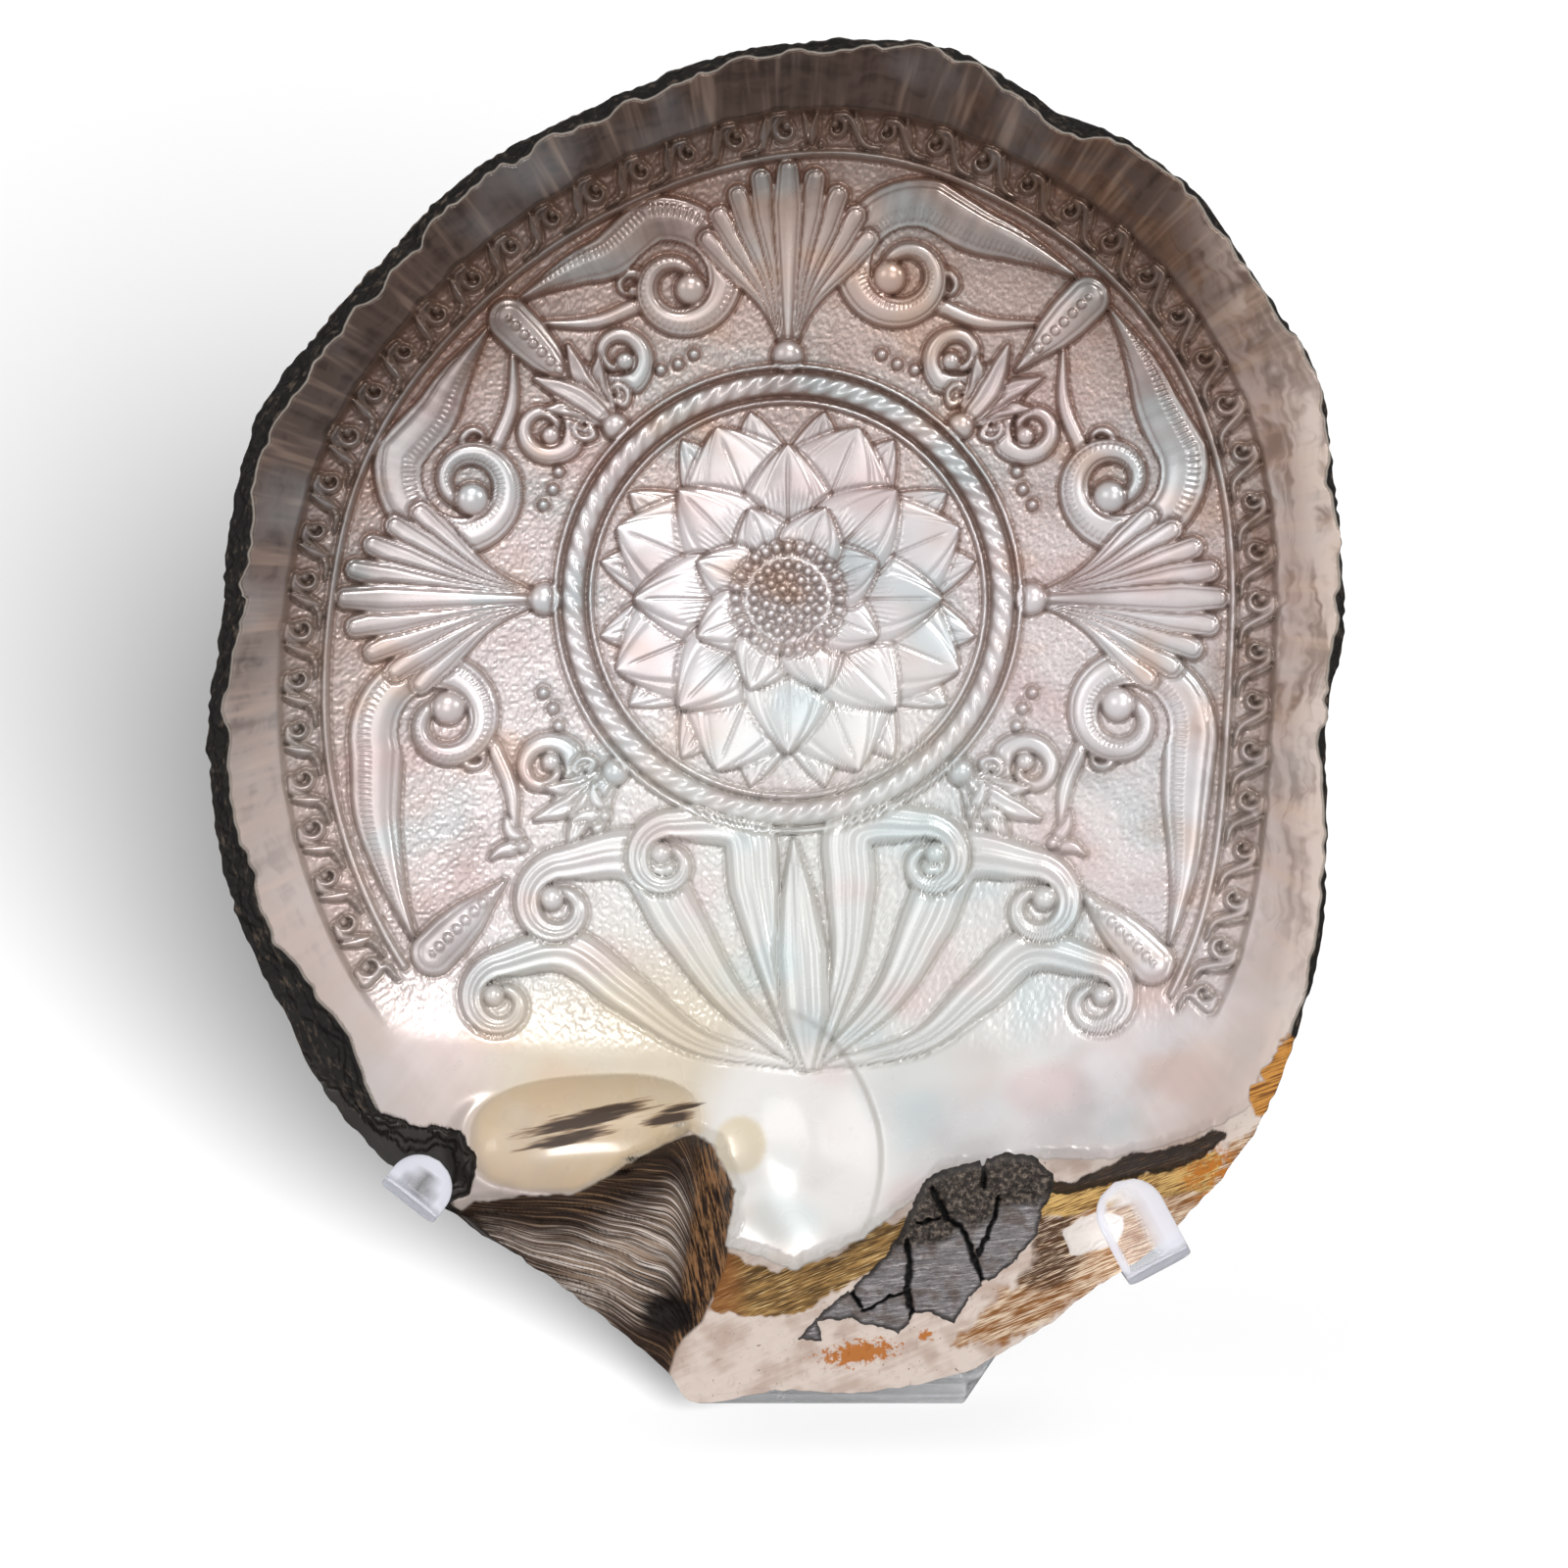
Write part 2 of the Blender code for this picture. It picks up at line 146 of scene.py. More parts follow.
def window(points, reach):
    """Rows and columns of the raster round some points."""
    low, high = points.min(axis=0) - reach, points.max(axis=0) + reach
    spans = []
    for axis, grid in ((1, grid_y), (0, grid_x)):
        ends = [(low[axis] - grid[0]) / CELL, (high[axis] - grid[0]) / CELL + 2]
        spans.append(slice(*np.clip(ends, 0, len(grid)).astype(int)))
    return tuple(spans)


def follow(path, reach):
    """Window round a path, how far along the path each cell lies, and its signed distance from it."""
    path = np.asarray(path, float)
    area = window(path, reach)
    x, y = X[area], Y[area]
    near = np.full(x.shape, 1e9)
    along = np.zeros(x.shape)
    side = np.ones(x.shape)
    begun = 0.0
    for a, b in zip(path, path[1:]):
        step = b - a
        length = math.hypot(*step)
        if length < 1e-6:
            continue
        rows, columns = window(np.array([a, b]), reach)
        part = (slice(rows.start - area[0].start, rows.stop - area[0].start),
                slice(columns.start - area[1].start, columns.stop - area[1].start))
        px, py = x[part] - a[0], y[part] - a[1]
        t = np.clip((px * step[0] + py * step[1]) / length ** 2, 0.0, 1.0)
        dx, dy = px - t * step[0], py - t * step[1]
        square = dx * dx + dy * dy
        closer = square < near[part]
        near[part] = np.where(closer, square, near[part])
        along[part] = np.where(closer, begun + t * length, along[part])
        side[part] = np.where(closer, np.where(step[0] * dy - step[1] * dx >= 0, 1.0, -1.0), side[part])
        begun += length
    return area, along / begun, side * np.sqrt(near)


def lay(area, inside, height, groove_depth=0.24):
    """A form whose edge is where inside is 0, laid over what is there."""
    cover = smooth(-0.13, 0.13, inside)
    cut = bell(inside + 0.26, 0.24) * (1.0 - cover)
    relief[area] = relief[area] * (1.0 - cover) + height * cover - groove_depth * cut
    form[area] = np.maximum(form[area], cover)
    groove[area] = np.maximum(groove[area] * (1.0 - cover), cut)


def dome(q):
    return np.sqrt(np.clip(1.0 - q ** 2, 0.0, 1.0))


def band(path, widths, level, crown, flutes=0, rim=0.0, hatch=0.0, beads=0.0, power=2.4):
    """Rounded band along a path, its half widths given at even steps along it."""
    widths = np.asarray(widths, float)
    area, along, side = follow(path, widths.max() + 0.8)
    half = np.interp(along, np.linspace(0.0, 1.0, len(widths)), widths)
    across = side / half
    q = np.abs(across)
    broad = smooth(0.8, 1.7, half)
    height = level + crown * np.clip(1.0 - q ** power, 0.0, 1.0) ** 0.5
    if flutes:
        wave = 0.5 + 0.5 * np.cos(math.pi * flutes * (across + 1.0))
        height = height - 0.34 * wave * smooth(1.0, 0.8, q) * broad
    if rim:
        height = height - rim * bell(q - 0.70, 0.09) * broad
    if hatch:
        teeth = 0.5 + 0.5 * np.cos(2 * math.pi * along * len_of(path) / hatch)
        height = height - 0.22 * teeth * smooth(0.10, 0.30, across) * smooth(0.68, 0.60, across) * broad
    if beads:
        phase = (along * len_of(path) / beads) % 1.0 - 0.5
        bead = np.clip(1.0 - ((phase * beads) ** 2 + side ** 2) / (0.42 * beads) ** 2, 0.0, 1.0)
        height = height + 0.5 * np.sqrt(bead) * smooth(0.9, 1.4, half)
    lay(area, half - np.abs(side), height)


def len_of(path):
    return float(np.hypot(*np.diff(np.asarray(path), axis=0).T).sum())


def dot(centre, radius, level, crown):
    area = window(np.array([centre]), radius + 0.8)
    d = np.hypot(X[area] - centre[0], Y[area] - centre[1])
    lay(area, radius - d, level + crown * dome(d / radius))


def polar(degrees, radius, centre=HEART):
    a = math.radians(degrees)
    return np.array([centre[0] + radius * math.cos(a), centre[1] + radius * math.sin(a)])


def unit(degrees):
    return polar(degrees, 1.0, (0.0, 0.0))


def scroll(centre, radius, start, hand, lead, lead_widths, turns=1.3, fat=0.34, eye=0.2, level=-1.3,
           crown=1.6, **cut):
    """A lead that runs into a spiral and ends in a round eye. hand is 1 when it winds anticlockwise."""
    phi = np.linspace(0.0, turns * 2 * math.pi, int(14 + 30 * turns))
    r = radius * np.exp(-0.172 * phi)
    a = math.radians(start) + hand * phi
    winding = np.stack([centre[0] + r * np.cos(a), centre[1] + r * np.sin(a)], axis=1)
    thick = fat * r
    thick[-6:] = np.linspace(thick[-6], eye * radius, 6)
    path = np.concatenate([lead[:-1], winding])
    lead_half = np.interp(np.linspace(0, 1, len(lead)), np.linspace(0, 1, len(lead_widths)), lead_widths)
    thick = np.concatenate([lead_half[:-1], thick])
    s = np.concatenate([[0.0], np.cumsum(np.hypot(*np.diff(path, axis=0).T))])
    even = np.interp(np.linspace(0.0, s[-1], 220), s, thick)
    band(path, even, level, crown, **cut)
    dot(winding[-1], eye * radius * 1.25, level + 0.1, crown * 0.95)


def border_reach(degrees):
    return (BORDER_IN - 0.016) * float(oval_radius(math.radians(degrees)))


def volute(degrees, toward):
    """Large scroll facing its neighbour across an axis; toward is 1 when that lies anticlockwise."""
    across = unit(degrees + 90) * toward
    out = unit(degrees)
    room = (36.0 + border_reach(degrees)) / 2
    size = min(10.6, (border_reach(degrees) - 36.0) / 2 / 1.26)
    centre = polar(degrees, room + 0.4) + across * 2.4
    start = centre + out * size
    end = degrees - toward * 21.0
    far = border_reach(end)
    lead = []
    for k in range(4):
        place = end + toward * (1.4 + 5.0 * k)
        lead.append(polar(place, border_reach(place) - 1.9 - 0.75 * k))
    lead = curve_through(lead + [start], steps=10)
    for turn, reach, radius in ((12.6, 43.8, 4.6), (4.4, 51.5, 3.0), (17.5, 39.4, 1.9)):
        place = degrees - toward * turn
        knot, knot_out = polar(place, reach), unit(place)
        first = knot - knot_out * radius
        root = polar(end + toward * 1.4, min(reach + 3.0, far - 6.0))
        path = curve_through([root, (root + first) / 2 - knot_out * radius * 0.45, first], steps=8)
        scroll(knot, radius, place + 180, -toward, path, [0.4, 0.36 * radius, 0.4 * radius], turns=1.05,
               fat=0.38, eye=0.25, crown=0.8 + 0.12 * radius, rim=0.18)
    for turn, reach in ((6.5, 38.6), (2.5, 38.2), (-1.5, 38.6)):
        dot(polar(degrees - toward * turn, reach), 0.85, -1.3, 1.0)
    scroll(centre, size, degrees, toward, lead, [0.3, 1.2, 2.2, 3.0, 3.6, 0.37 * size], turns=1.36, fat=0.375,
           eye=0.19, level=-1.15, crown=1.8, rim=0.26, hatch=0.8)


def fan(degrees):
    reach = border_reach(degrees) - 36.5
    root = polar(degrees, 35.8)
    for k in (-4, 4, -3, 3, -2, 2, -1, 1, 0):
        spread = k * 9.4
        length = reach * (1.0 - 0.04 * abs(k) ** 1.3)
        path = curve_through([root, root + unit(degrees + spread * 0.55) * length * 0.4,
                              root + unit(degrees + spread * 0.8) * length * 0.75,
                              root + unit(degrees + spread * 0.92) * length], steps=6)
        band(path, [0.4, 0.9, 1.4, 1.9, 2.3, 1.7], -1.3 + 0.06 * (4 - abs(k)), 1.35, rim=0.22)
    dot(root, 2.4, -1.0, 1.6)


def bud(degrees):
    reach = border_reach(degrees)
    path = curve_through([polar(degrees, reach - short) for short in (18.0, 9.0, 3.2)], steps=8)
    band(path, [0.3, 1.4, 2.7, 3.3, 3.4], -1.2, 1.8, rim=0.2, beads=1.8)
    for lean, length, wide in ((30, 10.5, 2.2), (14, 14.0, 2.0)):
        for side in (-1, 1):
            root = polar(degrees, 35.6)
            path = curve_through([root, root + unit(degrees + side * lean * 0.4) * length * 0.5,
                                  root + unit(degrees + side * lean) * length], 6)
            band(path, [0.5, wide * 0.8, wide, wide * 0.75, 0.4], -1.35, 1.4, flutes=2)
    dot(polar(degrees, 36.0), 2.0, -1.0, 1.5)


def plume(root, centre, size, start, hand, lead, wide):
    p0 = polar(start, size, centre)
    before = p0 - unit(start + hand * 90) * size * 1.9
    path = curve_through([root, root + lead, (root + lead) * 0.45 + before * 0.55, before, p0], steps=10)
    scroll(centre, size, start, hand, path, [0.7, wide * 0.6, wide, wide * 1.05, 0.42 * size], turns=1.1,
           fat=0.42, eye=0.24, level=-1.25, crown=1.75, flutes=3)


def spray():
    root = np.array([5.0, -51.0])
    middle = 3.5
    for (x, y), size, start, lead, wide in (((47.0, -41.5), 5.6, 78.0, (15.0, 3.5), 3.2),
                                            ((38.5, -27.5), 6.2, 84.0, (10.5, 10.0), 3.9),
                                            ((22.8, -21.0), 5.7, 92.0, (4.5, 15.0), 3.8)):
        for side in (1, -1):
            centre = np.array([middle + side * (x - middle), y])
            plume(root + (side * 1.0, 0.0), centre, size, start if side > 0 else 180 - start, -side,
                  np.array([side * lead[0], lead[1]]), wide)
    path = curve_through([root, root + (-0.8, 14.0), (2.8, -17.6)], steps=10)
    band(path, [0.8, 3.6, 3.9, 2.6, 0.4], -1.1, 1.9, flutes=3)
    for x, y, lean in ((-25.0, -14.0, 150), (29.0, -13.5, 30), (-37.0, -18.5, 160), (41.0, -18.0, 20)):
        for k in (-1, 1):
            tip = np.array([x, y]) + unit(lean + 40 * k) * 5.0
            bend = (tip + (x, y)) / 2 + unit(lean) * 0.8
            band(curve_through([(x, y), bend, tip], 5), [0.4, 1.2, 0.9, 0.3], -1.35, 1.2)
        dot((x, y), 0.9, -1.3, 1.1)


def petal(axis, inner, outer, spread, level, crown, hatch=0.0, tip=0.7):
    axis = math.radians(axis)
    area = window(np.array([HEART]), outer + 2.0)
    x, y = X[area] - HEART[0], Y[area] - HEART[1]
    along = x * math.cos(axis) + y * math.sin(axis)
    side = y * math.cos(axis) - x * math.sin(axis)
    t = (along - inner) / (outer - inner)
    on = (t > 0) & (t < 1)
    t = np.clip(t, 0.0, 1.0)
    widest = outer * math.tan(math.radians(spread)) * tip
    half = np.where(on, widest * np.sin(math.pi * t ** 0.85) ** 0.75 * (1.25 - 0.25 * t) + 0.02, 0.0)
    q = np.clip(np.abs(side) / np.maximum(half, 0.05), 0.0, 1.0)
    height = level + crown * (0.55 + 0.45 * t) * np.sqrt(np.clip(1.0 - q ** 2.4, 0.0, 1.0))
    height = height - 0.26 * bell(side, 0.22) * smooth(0.1, 0.25, t) * smooth(0.93, 0.8, t)
    height = height - 0.18 * bell(q - 0.64, 0.07) * smooth(0.08, 0.2, t)
    if hatch:
        teeth = 0.5 + 0.5 * np.cos(2 * math.pi * np.degrees(np.abs(np.arctan2(side, along))) / hatch)
        height = height - 0.34 * teeth * smooth(0.66, 0.25, t) * smooth(0.62, 0.52, q)
    lay(area, np.where(on, (half - np.abs(side)) * 0.85, -1.0), height)


def rosette():
    area = window(np.array([HEART]), 36.0)
    r, a = R[area], ANGLE[area]
    d = r - 31.7
    twist = 0.5 + 0.5 * np.cos(66 * a + 2.2 * d)
    lay(area, 1.6 - np.abs(d), -1.1 + 1.35 * dome(d / 1.6) - 0.34 * twist)
    for ring in (29.1, 34.3):
        d = r - ring
        lay(area, 0.38 - np.abs(d), -1.1 + 0.55 * dome(d / 0.38))
    for k in range(16):
        petal(101.25 + 22.5 * k, 12.0, 28.2, 11.5, -1.3, 0.8)
    for k in range(8):
        petal(112.5 + 45 * k, 8.0, 27.4, 22.5, -1.15, 1.4, hatch=2.6, tip=0.72)
    for k in range(8):
        petal(90 + 45 * k, 6.0, 22.8, 20.0, -0.85, 1.75, hatch=3.0)
    for k in range(8):
        petal(112.5 + 45 * k, 4.5, 14.5, 20.0, -0.4, 1.8, hatch=4.0, tip=0.78)
    for k in range(28):
        dot(polar(360 / 28 * k, 7.7), 0.78, 0.3, 0.8)
    dot(HEART, 6.3, 0.0, 1.3)
    for ring, count in ((5.0, 20), (3.3, 13), (1.6, 6), (0.0, 1)):
        for k in range(count):
            dot(polar(360 / count * k, ring), 0.66, 0.3 + 0.95 * math.sqrt(1 - (ring / 6.6) ** 2), 0.55)


def border():
    """Small scrolls that run from the top down both sides, between a fillet and the plain margin."""
    a = np.radians(np.linspace(-46.0, 224.0, 1400))
    around = oval_radius(a)[:, None] * np.stack([np.cos(a), np.sin(a)], axis=1)
    middle = HEART + BORDER_MID * around
    band((HEART + BORDER_IN * around)[::6], [0.55] * 4, -1.25, 1.1)
    s = np.concatenate([[0.0], np.cumsum(np.hypot(*np.diff(middle, axis=0).T))])
    count = 46
    pitch = s[-1] / count

    def at(q):
        return np.array([np.interp(q, s, middle[:, 0]), np.interp(q, s, middle[:, 1])])

    for k in range(count):
        q = pitch * (k + 0.5)
        tangent = (at(q + 0.4) - at(q - 0.4)) / 0.8
        way = 1.0 if k < count / 2 else -1.0
        forward = tangent * way
        out = np.array([tangent[1], -tangent[0]])
        centre = at(q) + out * 0.5
        size = 1.8 + 0.25 * math.sin(1.7 * k)
        start = math.degrees(math.atan2(out[1], out[0]))
        root = at(q - way * pitch * 0.92) - out * 1.9
        first = polar(start, size, centre)
        path = [root, root + forward * 2.6 + out * 0.7, first - forward * 1.9 - out * 0.2, first]
        scroll(centre, size, start, -way, curve_through(path, steps=6), [0.25, 0.6, 0.75], turns=0.95,
               fat=0.38, eye=0.3, crown=1.5)
        foot = at(q + way * pitch * 0.5)
        leaf = [foot - out * 1.4, foot + forward * 0.4 + out * 0.5, foot + out * 2.6 + forward * 1.2]
        band(curve_through(leaf, steps=5), [0.35, 0.8, 0.6, 0.3], -1.3, 1.35)
        dot(at(q + way * pitch * 0.30) - out * 1.75, 0.52, -1.3, 1.05)


for degrees, toward in ((67.5, 1), (112.5, -1), (22.5, -1), (-22.5, 1), (157.5, 1), (202.5, -1)):
    volute(degrees, toward)
for degrees in (90, 0, 180):
    fan(degrees)
for degrees in (45, 135, -45, 225):
    bud(degrees)
spray()
rosette()
border()
relief = relief * smooth(-60.0, -47.0, Y + 0.06 * np.abs(X - 5.0))
ground = field * (1.0 - form)
relief = relief + ground * 0.10 * noise(X / 0.42, Y / 0.42, 1)

# Hinge side: zones of it, drawn as outlines.
WEDGE = [
    (-46.4, -68.9), (-41.9, -67.5), (-36.3, -68.9), (-29.4, -68.9), (-24.5, -66.6), (-18.9, -63.3),
    (-13.7, -60.2), (-12.0, -60.0), (-9.2, -61.6), (-8.8, -63.7), (-6.1, -67.5), (-4.3, -68.4),
    (-5.0, -71.7), (-6.7, -77.2), (-7.1, -79.6), (-9.2, -84.9), (-10.6, -88.0), (-13.3, -90.4),
    (-14.4, -92.2), (-15.5, -96.0), (-30.0, -92.0), (-50.0, -78.0),
]
OCHRE = [
    (-7.0, -77.5), (-3.7, -79.6), (0.3, -80.8), (6.2, -79.5), (10.6, -77.5), (12.8, -75.3), (16.4, -73.8),
    (22.0, -72.3), (22.0, -80.0), (13.1, -81.1), (9.8, -82.9), (4.7, -87.0), (0.0, -87.5), (-7.0, -86.8),
    (-9.9, -85.9),
]
STRIP = [
    (40.0, -67.6), (44.3, -67.5), (48.6, -65.1), (51.2, -63.8), (56.5, -63.0), (61.1, -61.7), (64.1, -59.9),
    (66.0, -60.5), (65.1, -62.8), (61.8, -64.8), (58.1, -65.9), (53.2, -66.8), (48.6, -68.1), (43.3, -69.0),
    (40.0, -69.4),
]
YELLOW = [
    (38.0, -67.0), (44.0, -68.3), (53.0, -66.3), (60.0, -64.6), (64.5, -62.6), (66.6, -64.0), (64.0, -68.4),
    (58.8, -69.6), (46.6, -71.8), (42.0, -73.0), (38.0, -72.4),
]
PATCH = [
    (70.6, -57.4), (69.4, -53.6), (72.2, -50.6), (74.6, -47.4), (79.0, -44.6), (78.0, -50.0), (75.4, -54.6),
    (72.6, -59.2),
]
STREAKED = [
    (26.0, -91.5), (31.0, -86.0), (37.5, -80.0), (38.6, -72.0), (58.0, -68.8), (68.0, -61.5), (74.0, -57.0),
    (66.0, -68.0), (56.0, -78.6), (44.0, -85.6), (32.0, -92.0),
]
WHITE = [
    (41.8, -74.7), (44.9, -72.7), (47.9, -71.7), (51.5, -72.5), (50.6, -76.7), (43.3, -78.6), (42.6, -76.0),
]
HINGE = [
    (-44.0, -70.5), (-37.0, -69.6), (-29.4, -69.4), (-24.5, -67.0), (-18.9, -63.6), (-12.4, -60.3),
    (-9.0, -62.0), (-5.6, -69.0), (-7.0, -77.0), (3.0, -80.6), (13.0, -76.0), (21.0, -70.0), (25.0, -66.0),
    (38.0, -64.4), (49.0, -64.2), (56.5, -62.6), (65.0, -59.4), (70.5, -56.0), (74.5, -50.0), (80.0, -42.0),
    (90.0, -44.0), (90.0, -106.0), (-60.0, -106.0), (-56.0, -78.0),
]
LIGAMENT = [
    (22.2, -67.2), (25.6, -65.7), (30.3, -64.7), (34.7, -63.4), (38.0, -64.1), (40.8, -66.3), (40.6, -69.4),
    (39.1, -72.0), (38.4, -75.3), (34.7, -80.0), (30.7, -82.4), (28.5, -84.8), (26.3, -88.2), (23.0, -86.8),
    (20.8, -87.0), (18.2, -89.9), (16.0, -88.8), (13.5, -88.5), (11.3, -87.5), (6.5, -88.1), (6.9, -90.8),
    (3.2, -90.7), (6.9, -86.6), (11.3, -83.3), (16.4, -78.2), (19.0, -74.2), (20.8, -70.2),
]
LACQUER = [
    (-84.0, -40.0), (-72.0, -44.5), (-66.0, -52.0), (-60.0, -57.0), (-52.0, -59.4), (-46.0, -60.0),
    (-43.5, -64.0), (-44.5, -69.5), (-52.0, -72.0), (-64.0, -70.0), (-84.0, -60.0),
]
LOW = slice(0, int((-38.0 - grid_y[0]) / CELL))


def depth_in(outline):
    """Signed distance inside a closed outline, worked out for the hinge side only."""
    x, y = X[LOW], Y[LOW]
    near = np.full(x.shape, 1e9)
    inside = np.zeros(x.shape, bool)
    for (ax, ay), (bx, by) in zip(outline, outline[1:] + outline[:1]):
        dx, dy = bx - ax, by - ay
        t = np.clip(((x - ax) * dx + (y - ay) * dy) / (dx * dx + dy * dy), 0.0, 1.0)
        near = np.minimum(near, np.hypot(x - ax - t * dx, y - ay - t * dy))
        crosses = (ay > y) != (by > y)
        inside ^= crosses & (x < ax + (y - ay) / (dy if dy else 1e-9) * dx)
    out = np.full(X.shape, -30.0)
    out[LOW] = np.where(inside, near, -near)
    return out


ragged = 0.45 * noise(X / 1.6, Y / 1.6, 2) + 0.25 * noise(X / 0.6, Y / 0.6, 3)
wedge = depth_in(WEDGE)
splinter = noise((Y - X * 0.25) / 0.7, X / 7.0, 18) * 1.3
wedge = wedge + splinter * smooth(-70.0, -64.0, Y) * smooth(-6.0, -12.0, X)
ochre = depth_in(OCHRE) + ragged
strip = depth_in(STRIP) + ragged
yellow = depth_in(YELLOW) + ragged
patch = depth_in(PATCH) + 2.2 * ragged
streaked = depth_in(STREAKED) + 2.0 * ragged
white = depth_in(WHITE) + 0.6 * ragged
hinge = depth_in(HINGE) + 0.5 * ragged
lacquer = depth_in(LACQUER) + ragged
horn = depth_in(LIGAMENT) + 0.5 * ragged

# Directions of the fine grain: fans of growth layers in the wedge, bands along the layers elsewhere.
turn = np.degrees(np.arctan2(Y + 69.0, X + 60.0)) + 13.0 * (np.clip(X + 16.5, 0.0, None) / 6.0) ** 2.2
turn = turn + 1.3 * np.sin(X / 5.0 + Y / 9.0) + 0.8 * noise(X / 5.0, Y / 5.0, 19)
wedge_across = turn * 0.95
slant = math.radians(22.0)
layer_across = Y * math.cos(slant) - X * math.sin(slant)
layer_along = X * math.cos(slant) + Y * math.sin(slant)
grain_across = np.where(wedge > 0, wedge_across, layer_across)
grain_along = np.where(wedge > 0, np.hypot(X + 60.0, Y + 69.0), layer_along)


def face_height():
    """Height of the whole face, and how far each cell lies inside the nacre."""
    natural = -11.5 * (1.0 - U ** 2) - 3.0 * bell(np.hypot(X - 4.0, (Y + 62.0) / 1.2), 15.0)
    scoop = np.hypot((X - 2.0 + 0.14 * (Y + 62.0)) / 14.0, (Y + 61.5) / 19.5)
    natural = natural - 2.4 * smooth(1.06, 0.20, scoop)
    crescent = smooth(1.00, 0.93, scoop + 0.008 * np.sin(Y / 3.0)) - smooth(0.93, 0.45, scoop)
    natural = natural - 0.75 * crescent * smooth(-2.0, 8.0, X)
    height = natural + relief

    # The nacre stops short of the margin; thin layers of dark crust step down beyond it.
    inset = np.interp(DEGREES, [0, 50, 58, 64, 75, 100, 130, 150, 200, 215, 225, 235, 250, 300, 360],
                      [1.2, 1.2, 2.6, 1.6, 1.5, 2.2, 2.6, 3.4, 3.6, 5.0, 8.0, 3.0, 1.0, 1.0, 1.2])
    arc = ANGLE * 90.0
    scallop = 0.7 * noise(arc / 5.0, EDGE / 30.0, 4) + 0.4 * noise(arc / 1.7, EDGE / 20.0, 5)
    nacre = EDGE - inset - scallop
    nacre = np.minimum(nacre, -lacquer)
    beyond = -nacre
    steps = 0.75 * smooth(-0.1, 0.25, beyond)
    for k, reach in enumerate((1.0, 2.0, 3.1)):
        layer = beyond - reach - 0.7 * noise(arc / 4.0, EDGE / 30.0, 6 + k)
        layer = layer - 0.4 * noise(arc / 1.3, EDGE / 20.0, 16 + k)
        steps = steps + 0.38 * smooth(0.0, 0.22, layer)
    rough = 0.10 * noise(X / 0.7, Y / 0.7, 9) + 0.16 * noise(X / 2.0, Y / 2.0, 10)
    outer = smooth(0.0, 0.3, beyond) * (1.0 - smooth(-0.5, 0.5, lacquer))
    height = height - np.minimum(steps, 1.9) + rough * outer
    height = height + smooth(0.0, 0.8, lacquer) * (0.6 + 0.35 * noise(X / 7.0, Y / 7.0, 11))

    # The hinge shelf and its crest.
    along = np.clip((Y + 97.0) / 35.0, -0.2, 1.1)
    crest_x = -14.0 + 5.0 * along + 0.9 * np.sin(along * 7.0)
    left = 3.0 - 0.26 * np.clip(crest_x - X, 0.0, None)
    right = 0.4 + 2.6 * bell(np.clip(X - crest_x, 0.0, None), 4.0) - 0.10 * np.clip(hinge - 12.0, 0.0, None)
    shelf = np.where(X < crest_x, left, right)
    ridges = noise(wedge_across * 1.3, grain_along / 26.0, 12)
    ridges = ridges + 0.6 * noise(wedge_across * 3.1, grain_along / 18.0, 13)
    shelf = shelf + 0.62 * ridges * smooth(-0.5, 1.5, wedge)
    shelf = shelf - 1.5 * bell(np.hypot((X + 15.5) / 1.0, (Y + 86.5) / 0.8), 3.6)
    fibres = noise(layer_across * 1.7, layer_along / 9.0, 14)
    fibres = fibres + 0.5 * noise(layer_across * 4.0, layer_along / 7.0, 15)
    shelf = shelf + 0.22 * fibres * smooth(0.0, 1.0, np.maximum(np.maximum(ochre, yellow), streaked))
    raised = smooth(0.0, 0.8, strip)
    shelf = shelf + 0.9 * raised + 0.35 * smooth(-0.3, 0.6, yellow) * (1.0 - raised)
    shelf = shelf + 0.25 * smooth(0.0, 0.5, white)
    grained = np.maximum(np.maximum(ochre, streaked), np.maximum(wedge, yellow))
    chalk = 1.0 - smooth(-0.3, 0.3, grained)
    pits = smooth(0.55, 0.8, noise(X / 0.9, Y / 0.9, 20))
    uneven = 0.10 * noise(X / 1.3, Y / 1.3, 21) + 0.25 * noise(X / 9.0, Y / 9.0, 22)
    shelf = shelf + chalk * (uneven - 0.25 * pits)
    shelf = shelf - 1.8 * smooth(0.5, 1.1, horn)
    weight = smooth(-1.8, 2.6, hinge)
    height = height * (1.0 - weight) + shelf * weight

    # The cup to the left of the crest.
    cup_x, cup_y = (X + 27.5) / 17.0, (Y + 60.5 - 0.06 * (X + 27.0)) / 8.4
    cup = (np.abs(cup_x) ** 2.6 + np.abs(cup_y) ** 2.6) ** (1.0 / 2.6)
    lip = 0.9 * bell(cup - 1.07, 0.09) * smooth(-14.0, -22.0, X) * smooth(-54.0, -60.0, Y)
    bowl = np.clip(1.0 - cup ** 2.4, 0.0, 1.0) ** 0.9
    height = height - 3.8 * bowl * (1.0 - smooth(0.0, 1.0, wedge)) + lip
    return height + edge_wave(ANGLE) * U ** 2, nacre, cup


# The solid's front is an upright plane; seen from the leaning plane it is a slope that nothing may pass.
FRONT, LEAN_COS, LEAN_SIN = 27.9, 0.2588, 0.9659
FRONT_LIMIT = (FRONT + LEAN_COS * Y) / LEAN_SIN
HEIGHT, nacre, cup = face_height()
HEIGHT = np.minimum(HEIGHT, FRONT_LIMIT)


def blur(values, reach):
    """Soft average over a reach in millimetres: twice down the columns and twice along the rows."""
    size = max(int(reach / CELL / 2), 1)
    span = 2 * size + 1
    for _ in range(4):
        total = np.cumsum(np.pad(values, [(size + 1, size), (0, 0)], mode="edge"), axis=0)
        values = ((total[span:] - total[:-span]) / span).T
    return values


